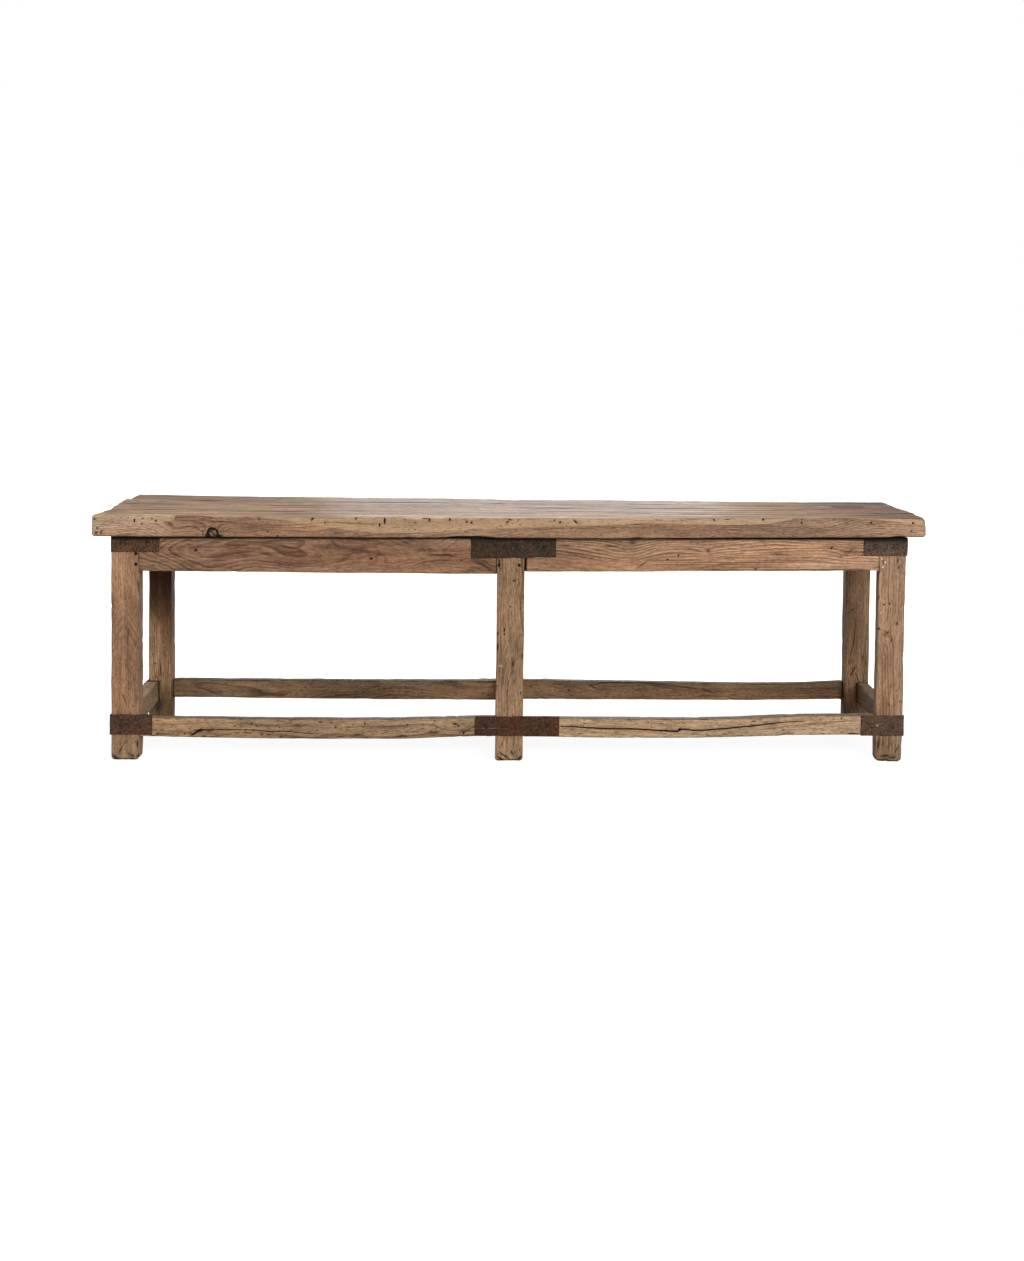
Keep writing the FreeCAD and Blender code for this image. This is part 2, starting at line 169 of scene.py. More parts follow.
def add_object(name, data):
    """A new object in the scene."""
    made = bpy.data.objects.new(name, data)
    bpy.context.scene.collection.objects.link(made)
    return made


def add_mesh(name, point, faces, fields, finish, node):
    """A piece at the origin from points, like-sided faces and per-point fields; it stands for a CAD node."""
    data = bpy.data.meshes.new(name)
    corners = faces.shape[1]
    data.vertices.add(len(point))
    data.vertices.foreach_set("co", np.ascontiguousarray(point, np.float32).ravel())
    data.loops.add(faces.size)
    data.loops.foreach_set("vertex_index", np.ascontiguousarray(faces, np.int32).ravel())
    data.polygons.add(len(faces))
    data.polygons.foreach_set("loop_start", np.arange(0, faces.size, corners, dtype=np.int32))
    data.update(calc_edges=True)
    data.shade_smooth()
    for label, values in fields.items():
        kind, member = ("FLOAT_VECTOR", "vector") if values.ndim == 2 else ("FLOAT", "value")
        made = data.attributes.new(label, kind, "POINT")
        made.data.foreach_set(member, np.ascontiguousarray(values, np.float32).ravel())
    data.materials.append(finish)
    piece = add_object(name, data)
    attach(piece, "root")
    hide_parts(node)


# Small wear: the size of breaks in dirt, how wide, long, deep and dark nicks are, and the stain that dents.
DIRT_BREAKS = 0.035
NICK_WIDE, NICK_LONG, NICK_DEEP, NICK_DARK = (0.003, 0.007), (0.004, 0.018), (0.4, 1.0), (0.2, 0.7)
DENTING = 0.8
# Painted shade of the crevice below the top: how far down it is darkest, its strength, narrow and wide reach.
CREVICE, CREVICE_SHADE, CREVICE_SHADE_REACH, GLOOM_REACH = 0.003, 1.15, 0.0050, 0.018
# Rings: sizes of the pith's long and short waves each way, the share of the short ones, size of the churn.
PITH_LONG, PITH_SHORT, SHORT_SHARE = (1.2, 1.0), (0.37, 0.31), 0.35
CHURN_SIZE = (0.34, 0.05, 0.05)
CRACK_SOFT = 0.0004


class Timber:
    """A bar of wood or iron: the skin of a box as a fine grid, worn as whole arrays, and its finish's fields.

    rest is the plain box, seat where its skin ends up after the bar's move, and point the worn skin before
    that move. Places of knots, marks and cracks are where they end up."""

    def __init__(self, low, high, along, step, extra=((), (), ()), margin=FINE_EDGE, move=np.copy):
        self.low, self.high = np.array(low, float), np.array(high, float)
        self.order = [along, *(axis for axis in range(3) if axis != along)]
        places = (lines(*values, margin) for values in zip(self.low, self.high, step, extra))
        self.rest, self.quads = lattice(*places)
        self.move, self.seat = move, move(self.rest)
        count = len(self.rest)
        # The stain field darkens the finish: stains, dirt and marks, and also painted shade.
        self.ring, self.stain, self.sap = np.zeros(count), np.zeros(count), np.full(count, -1.0)
        self.crack, self.split = np.ones((count, 3)), np.zeros((count, 3))
        self.offset = np.zeros(3)

    def shade(self, tone, age, figure=1.0, murk=0.12):
        """Sets the tone, and the strengths of weathering, rings and dark patches, all over or by point."""
        count = len(self.rest)
        self.tone = np.broadcast_to(np.asarray(tone, float), (count, 3)).copy()
        parts = (np.broadcast_to(np.asarray(part, float), count).copy() for part in (age, figure, murk))
        self.age, self.figure, self.murk = parts

    def wear(self, radius):
        """Rounds the arrises: points go to a ball of that radius round the nearest place of a shrunk box."""
        radius = np.broadcast_to(radius, len(self.rest))[:, None]
        middle, half = (self.low + self.high) / 2, (self.high - self.low) / 2
        core = np.clip(self.rest - middle, radius - half, half - radius)
        out = self.rest - middle - core
        self.normal = out / np.linalg.norm(out, axis=1, keepdims=True)
        self.point = middle + core + self.normal * radius

    def uneven(self, depth, size, seed):
        """Moves the skin along its normal by smooth noise of that depth and size."""
        self.point += self.normal * (depth * waves(self.rest, size, seed))[:, None]

    def bell(self, place, reach, power=1.0):
        """A bell round a place: e to minus the squared distance in reaches, raised to a power."""
        return np.exp(-((((self.seat - place) / reach) ** 2).sum(1) ** power))

    def press(self, place, reach, depth, stain=0.0, power=1.0):
        """Pushes the skin in round a place, and darkens it there by stain."""
        bell = self.bell(place, reach, power)
        self.point -= self.normal * (depth * bell)[:, None]
        self.stain += stain * bell

    def mark(self, rows, facing=-1, depth=0.0020):
        """Dents, scuffs and painted shadow on the front, from rows of marks: bells longer one way, turned in
        the face.
        """
        on_front = held(2 * facing * self.normal[:, 1] - 0.5)
        for x, z, long, wide, turn, stain in rows:
            turn = np.radians(turn)
            right, up = 1000 * self.seat[:, 0] - x, 1000 * self.seat[:, 2] - z
            along = right * np.cos(turn) + up * np.sin(turn)
            across = up * np.cos(turn) - right * np.sin(turn)
            bell = on_front * np.exp(-(((along / long) ** 2 + (across / wide) ** 2) ** 1.5))
            self.stain += stain * bell
            self.point[:, 1] -= facing * depth * bell * (stain > DENTING)

    def soil(self, amount, reach, seed):
        """Dirt along arrises: a hump of the distance to the second nearest face, broken by smooth noise."""
        away = np.sort(np.minimum(self.rest - self.low, self.high - self.rest), axis=1)[:, 1]
        broken = np.clip(0.6 + 0.6 * waves(self.rest, DIRT_BREAKS, seed), 0.1, 1.3)
        self.stain += amount * broken * hump(away, reach)

    def shadow_line(self, wide=0.30):
        """Painted shade of the crevice below the top: a narrow dark band and a wide faint one, by height."""
        below = TOP_LOW - CREVICE - self.seat[:, 2]
        self.stain += CREVICE_SHADE * hump(below, CREVICE_SHADE_REACH) + wide * hump(below, GLOOM_REACH)

    def nick(self, count, depth, seed):
        """Small knocks out of the long arrises at seeded places."""
        rng = np.random.default_rng(seed)
        along = self.order[0]
        for _ in range(count):
            place = np.where(rng.random(3) < 0.5, self.low, self.high)
            place[along] = rng.uniform(self.low[along], self.high[along])
            reach = np.full(3, rng.uniform(*NICK_WIDE))
            reach[along] = rng.uniform(*NICK_LONG)
            deep, dark = depth * rng.uniform(*NICK_DEEP), rng.uniform(*NICK_DARK)
            self.press(self.move(place[None])[0], reach, deep, dark)

    def grow(self, pith, spacing, sway, seed, knotted=(), churn=0.8, taper=0.0):
        """Rings: distance from a wandering pith, plus a taper along it, in ring widths; more at knots."""
        s, a, b = self.rest[:, self.order].T
        line = s[:, None]

        def wander(way):
            first = seed + 2 * way
            return waves(line, PITH_LONG[way], first) + SHORT_SHARE * waves(line, PITH_SHORT[way], first + 1)

        away = np.hypot(a - pith[0] + sway * wander(0), b - pith[1] + sway * wander(1))
        self.ring = (away + taper * s) / spacing
        self.ring += churn * waves(self.rest[:, self.order], CHURN_SIZE, seed + 4)
        for place, reach, rise in knotted:
            self.ring += rise * self.bell(place, reach)
        self.offset = np.random.default_rng(seed).uniform(1, 9, 3)

    def split_along(self, channel, facing, path, depth):
        """A crack in a face, by rows of place along, place across and half width; the skin dips at it."""
        path = np.array(path, float)
        out = np.argmax(np.abs(facing))
        across = next(axis for axis in self.order[1:] if axis != out)
        s = self.seat[:, self.order[0]]
        away = self.seat[:, across] - np.interp(s, path[:, 0], path[:, 1])
        width = np.interp(s, path[:, 0], path[:, 2], left=0, right=0)
        on = (self.normal @ np.array(facing, float)) > 0.5
        self.crack[on, channel] = away[on]
        self.split[on, channel] = width[on]
        sink = depth * hump(away, width + CRACK_SOFT) * (width > 0) * on
        self.point -= self.normal * sink[:, None]

    def make(self, node, slot, finish):
        """Makes the piece that stands for the CAD node."""
        labels = ("ring", "stain", "sap", "crack", "split", "tone", "age", "figure", "murk")
        fields = {"grain": self.rest[:, self.order] + self.offset}
        fields |= {label: getattr(self, label) for label in labels}
        add_mesh(f"{node}_worn", self.move(self.point), self.quads, fields, finish, node)


class Socket:
    """An output of a material's node tree that can be used in sums like a number."""

    def __init__(self, tree, output=None):
        self.tree, self.output = tree, output

    def node(self, kind, settings, sockets):
        """All outputs of a new node: settings come first, then sockets are linked or filled in."""
        made = self.tree.nodes.new(kind)
        for name, value in settings.items():
            setattr(made, name, value)
        for name, value in sockets.items():
            if isinstance(value, Socket):
                self.tree.links.new(value.output, made.inputs[name])
            else:
                made.inputs[name].default_value = value
        return [Socket(self.tree, output) for output in made.outputs]

    def maths(self, operation, *values):
        return self.node("ShaderNodeMath", {"operation": operation}, dict(enumerate(values)))[0]

    def __add__(self, other):
        return self.maths("ADD", self, other)

    def __radd__(self, other):
        return self.maths("ADD", other, self)

    def __sub__(self, other):
        return self.maths("SUBTRACT", self, other)

    def __rsub__(self, other):
        return self.maths("SUBTRACT", other, self)

    def __mul__(self, other):
        return self.maths("MULTIPLY", self, other)

    def __rmul__(self, other):
        return self.maths("MULTIPLY", other, self)

    def __pow__(self, other):
        return self.maths("POWER", self, other)

    def __abs__(self):
        return self.maths("ABSOLUTE", self)

    def most(self, other):
        return self.maths("MAXIMUM", self, other)

    def least(self, other):
        return self.maths("MINIMUM", self, other)

    def soft(self, low, high):
        """A smooth step from 0 at low to 1 at high; high may be the lower of the two."""
        sockets = {"Value": self, "From Min": low, "From Max": high}
        return self.node("ShaderNodeMapRange", {"interpolation_type": "SMOOTHSTEP"}, sockets)[0]

    def mixed(self, first, second, share, how="MIX"):
        """Two colours mixed by a share from 0 to 1."""
        settings = {"data_type": "RGBA", "blend_type": how}
        return self.node("ShaderNodeMix", settings, {0: share, 6: first, 7: second})[2]

    def attribute(self, name):
        """A per-point field of the piece: as colour, vector and number."""
        return self.node("ShaderNodeAttribute", {"attribute_name": name}, {})

    def parts(self):
        return self.node("ShaderNodeSeparateXYZ", {}, {0: self})

    def stretched(self, amount):
        return self.node("ShaderNodeVectorMath", {"operation": "MULTIPLY"}, {0: self, 1: amount})[0]

    def scaled(self, amount):
        return self.node("ShaderNodeVectorMath", {"operation": "SCALE"}, {0: self, "Scale": amount})[0]

    def noise(self, stretch, detail=2.0, rough=0.5):
        """Noise from 0 to 1 over this vector, multiplied first by a stretch for each axis."""
        sockets = {"Vector": self.stretched(stretch), "Scale": 1.0, "Detail": detail, "Roughness": rough}
        return self.node("ShaderNodeTexNoise", {"noise_dimensions": "3D"}, sockets)[0]


def rgb(red, green, blue):
    return (red, green, blue, 1.0)


def new_finish(name):
    """A material with an empty tree, and a socket to start sums from."""
    material = bpy.data.materials.new(name)
    material.use_nodes = True
    material.node_tree.nodes.clear()
    return material, Socket(material.node_tree)


def show(start, shader):
    start.node("ShaderNodeOutputMaterial", {}, {"Surface": shader})


# Colours in the wood: late lines in sapwood, grime, stained places and brown painted shade, faded places,
# and the inside of holes, which is also the black of the strongest painted shade.
SAP_LINE, GRIME, STAINED_AND_SHADED = (0.28, 0.16, 0.085), (0.045, 0.026, 0.017), (0.040, 0.023, 0.015)
FADED, HOLE_AND_SHADE_BLACK = (0.62, 0.55, 0.47), (0.008, 0.006, 0.004)
# Colours on the iron: pits, dirt and painted shade; scuffs; and painted glints, pale specks that stand
# in for highlights.
PIT_AND_SHADE, SCUFF, PAINTED_GLINT = (0.010, 0.008, 0.007), (0.34, 0.29, 0.25), (0.30, 0.26, 0.23)


def wood(name, heart, ruddy, late, sapwood, worm, shine, gloss):
    """Old timber: rings by the ring field, fibres along the grain, sapwood, stains and painted shade, cracks,
    worm holes.
    """
    material, start = new_finish(name)
    grain = start.attribute("grain")[1]
    labels = ("ring", "stain", "sap", "age", "figure", "murk")
    ring, stain, sap, age, figure, murk = (start.attribute(label)[2] for label in labels)
    tone = start.attribute("tone")[0]

    wander = grain.noise((6, 75, 75), 2.0) - 0.5
    count = ring + 0.7 * (grain.noise((2.5, 28, 28), 2.0) - 0.5)
    turn = count.maths("FRACT", count)
    strong = start.node("ShaderNodeTexWhiteNoise", {"noise_dimensions": "1D"}, {"W": count - turn})[0]
    band = turn ** 2.2 * turn.soft(1.0, 0.86) * (0.35 + 0.95 * strong)
    faint = grain.noise((1.1, 24, 24), 1.0).soft(0.34, 0.64)
    fibre = grain.noise((80, 400, 400), 2.0, 0.6) - 0.5
    hair = grain.noise((17, 230, 230), 2.0, 0.6) - 0.5
    streak = grain.noise((4, 75, 75), 3.0, 0.6) - 0.5
    cloud = grain.noise((5, 19, 19), 3.0, 0.6) - 0.5
    smoke = grain.noise((5, 34, 34), 3.0, 0.6).soft(0.49, 0.62)
    warm = grain.noise((1.5, 16, 16), 2.0).soft(0.36, 0.64)
    pore = grain.noise((42, 640, 640), 1.0).soft(0.60, 0.68)
    speck = grain.noise((70, 260, 260), 2.0, 0.55)

    ringed = (figure * band * (0.5 + 0.9 * faint) + murk * smoke).least(1.0)
    body = start.mixed(start.mixed(rgb(*heart), rgb(*ruddy), warm), rgb(*late), ringed)
    pale = (sap + 0.005 * streak + 0.003 * hair).soft(-0.0012, 0.0012)
    outer = start.mixed(rgb(*sapwood), rgb(*SAP_LINE), band * (0.2 + 0.5 * faint))
    calm = 1.0 - 0.5 * pale
    value = 1.0 + calm * (1.4 * fibre + 1.2 * hair + 0.7 * streak + 1.2 * cloud) - 0.3 * pore
    colour = start.mixed(body, outer, pale).scaled(value.most(0.2))
    colour = start.mixed(colour, tone, 1.0, "MULTIPLY")
    colour = start.mixed(colour, rgb(*GRIME), 0.85 * age * speck.soft(0.60, 0.67))

    dots = start.node("ShaderNodeTexVoronoi", {}, {"Vector": grain.stretched((26, 34, 34)), "Scale": 1.0})
    chance = dots[1].parts()[0]
    dark = dots[0].soft(0.090, 0.060) * chance.maths("LESS_THAN", chance, worm + 0.14 * age + 0.16 * pale)
    away, width = start.attribute("crack")[1].parts(), start.attribute("split")[1].parts()
    for channel in range(3):
        gap = abs(away[channel] + 0.004 * wander) - width[channel]
        dark = dark.most(gap.soft(0.0006, -0.0006) * width[channel].soft(0.0001, 0.0004))
    # Positive stain browns the wood and past about 0.8 turns it black; it holds painted shade as well as
    # stains.
    colour = start.mixed(colour, rgb(*STAINED_AND_SHADED), stain.soft(0.0, 1.0))
    colour = start.mixed(colour, rgb(*FADED), (stain * -1.0).soft(0.0, 1.0))
    dark = dark.most(stain.soft(0.8, 1.4))
    colour = start.mixed(colour, rgb(*HOLE_AND_SHADE_BLACK), dark)

    rough = shine + 0.30 * fibre + 0.25 * streak + 0.10 * band + 0.2 * dark
    height = 0.6 * fibre + 0.5 * hair + 0.4 * streak - 0.35 * band - 0.4 * pore - 2.0 * dark
    relief = start.node("ShaderNodeBump", {}, {"Strength": 0.7, "Distance": 0.0015, "Height": height})[0]
    sockets = {"Base Color": colour, "Roughness": rough, "Normal": relief, "Specular IOR Level": gloss}
    show(start, start.node("ShaderNodeBsdfPrincipled", {}, sockets)[0])
    return material


def iron(name, plain, rust, shine, metal, toned=True):
    """Old flat iron: two browns in clouds, dark pits and small pale scuffs, times the tone of the piece."""
    material, start = new_finish(name)
    place = start.node("ShaderNodeTexCoord", {}, {})[3]
    cloud = place.noise((24, 24, 24), 3.0, 0.65)
    patch = place.noise((75, 75, 75), 2.0, 0.6)
    speck = place.noise((230, 230, 230), 2.0, 0.6)
    scratch = place.noise((30, 30, 380), 2.0)
    colour = start.mixed(rgb(*plain), rgb(*rust), cloud.soft(0.40, 0.62))
    value = 2.8 * speck + 0.9 * patch + 0.6 * cloud + 0.6 * scratch - 1.45
    colour = colour.scaled(value.most(0.25))
    if toned:
        # The stain of the piece: dirt, marks, and painted shade below the top.
        stain = start.attribute("stain")[2]
        colour = start.mixed(colour, start.attribute("tone")[0], 1.0, "MULTIPLY")
        colour = start.mixed(colour, rgb(*PIT_AND_SHADE), stain.soft(0.0, 1.1))
        colour = start.mixed(colour, rgb(*SCUFF), (stain * -1.0).soft(0.0, 1.0))
    pit = speck.soft(0.42, 0.34)
    colour = start.mixed(colour, rgb(*PIT_AND_SHADE), 0.4 * pit)
    # Painted glints: pale specks that stand in for highlights.
    colour = start.mixed(colour, rgb(*PAINTED_GLINT), 0.35 * speck.soft(0.68, 0.76))
    height = speck + 1.2 * patch + 1.2 * cloud - pit
    relief = start.node("ShaderNodeBump", {}, {"Strength": 0.5, "Distance": 0.0010, "Height": height})[0]
    rough = shine + 0.25 * (cloud - 0.5) + 0.2 * pit
    sockets = {"Base Color": colour, "Roughness": rough, "Normal": relief}
    sockets |= {"Metallic": metal, "Specular IOR Level": 0.12}
    show(start, start.node("ShaderNodeBsdfPrincipled", {}, sockets)[0])
    return material


def peg_end(name, plain, sooty):
    """End grain of a sunk peg: soot in clouds over brown, with fine pores, from the place in the part."""
    material, start = new_finish(name)
    place = start.node("ShaderNodeTexCoord", {}, {})[3]
    cloud, pore = place.noise((320, 320, 320), 3.0), place.noise((1500, 1500, 1500), 1.0)
    colour = start.mixed(rgb(*plain), rgb(*sooty), cloud.soft(0.30, 0.60)).scaled(0.6 + 0.8 * pore)
    sockets = {"Base Color": colour, "Roughness": 0.7 + 0.3 * cloud, "Specular IOR Level": 0.1}
    show(start, start.node("ShaderNodeBsdfPrincipled", {}, sockets)[0])
    return material


# Colours of the timber: heartwood, its ruddy clouds, late wood and sapwood.
HEART, RUDDY = (0.360, 0.212, 0.120), (0.345, 0.182, 0.094)
LATE, SAPWOOD = (0.130, 0.062, 0.032), (0.45, 0.32, 0.18)
PLANK_HEART, PLANK_RUDDY, PLANK_SAPWOOD = (0.330, 0.200, 0.122), (0.315, 0.174, 0.099), (0.415, 0.267, 0.150)
PATCH_HEART, PATCH_RUDDY, PATCH_LATE = (0.29, 0.165, 0.097), (0.27, 0.138, 0.074), (0.09, 0.044, 0.026)
# After the colours of a wood: its share of worm holes, roughness, gloss; of an iron: roughness and metal.
PLANK_WOOD = wood("plank_wood", PLANK_HEART, PLANK_RUDDY, LATE, PLANK_SAPWOOD, 0.10, 0.50, 0.14)
FRAME_WOOD = wood("frame_wood", HEART, RUDDY, LATE, SAPWOOD, 0.035, 0.62, 0.14)
PATCH_WOOD = wood("patch_wood", PATCH_HEART, PATCH_RUDDY, PATCH_LATE, SAPWOOD, 0.02, 0.56, 0.14)
PEG_WOOD = peg_end("peg_wood", (0.030, 0.019, 0.013), (0.010, 0.007, 0.005))
STRAP_IRON = iron("strap_iron", (0.062, 0.044, 0.033), (0.078, 0.046, 0.030), 0.76, 0.0)
NAIL_IRON = iron("nail_iron", (0.060, 0.042, 0.032), (0.085, 0.048, 0.030), 0.66, 0.15)
SCREW_STEEL = iron("screw_steel", (0.20, 0.19, 0.18), (0.12, 0.10, 0.085), 0.40, 0.8, toned=False)


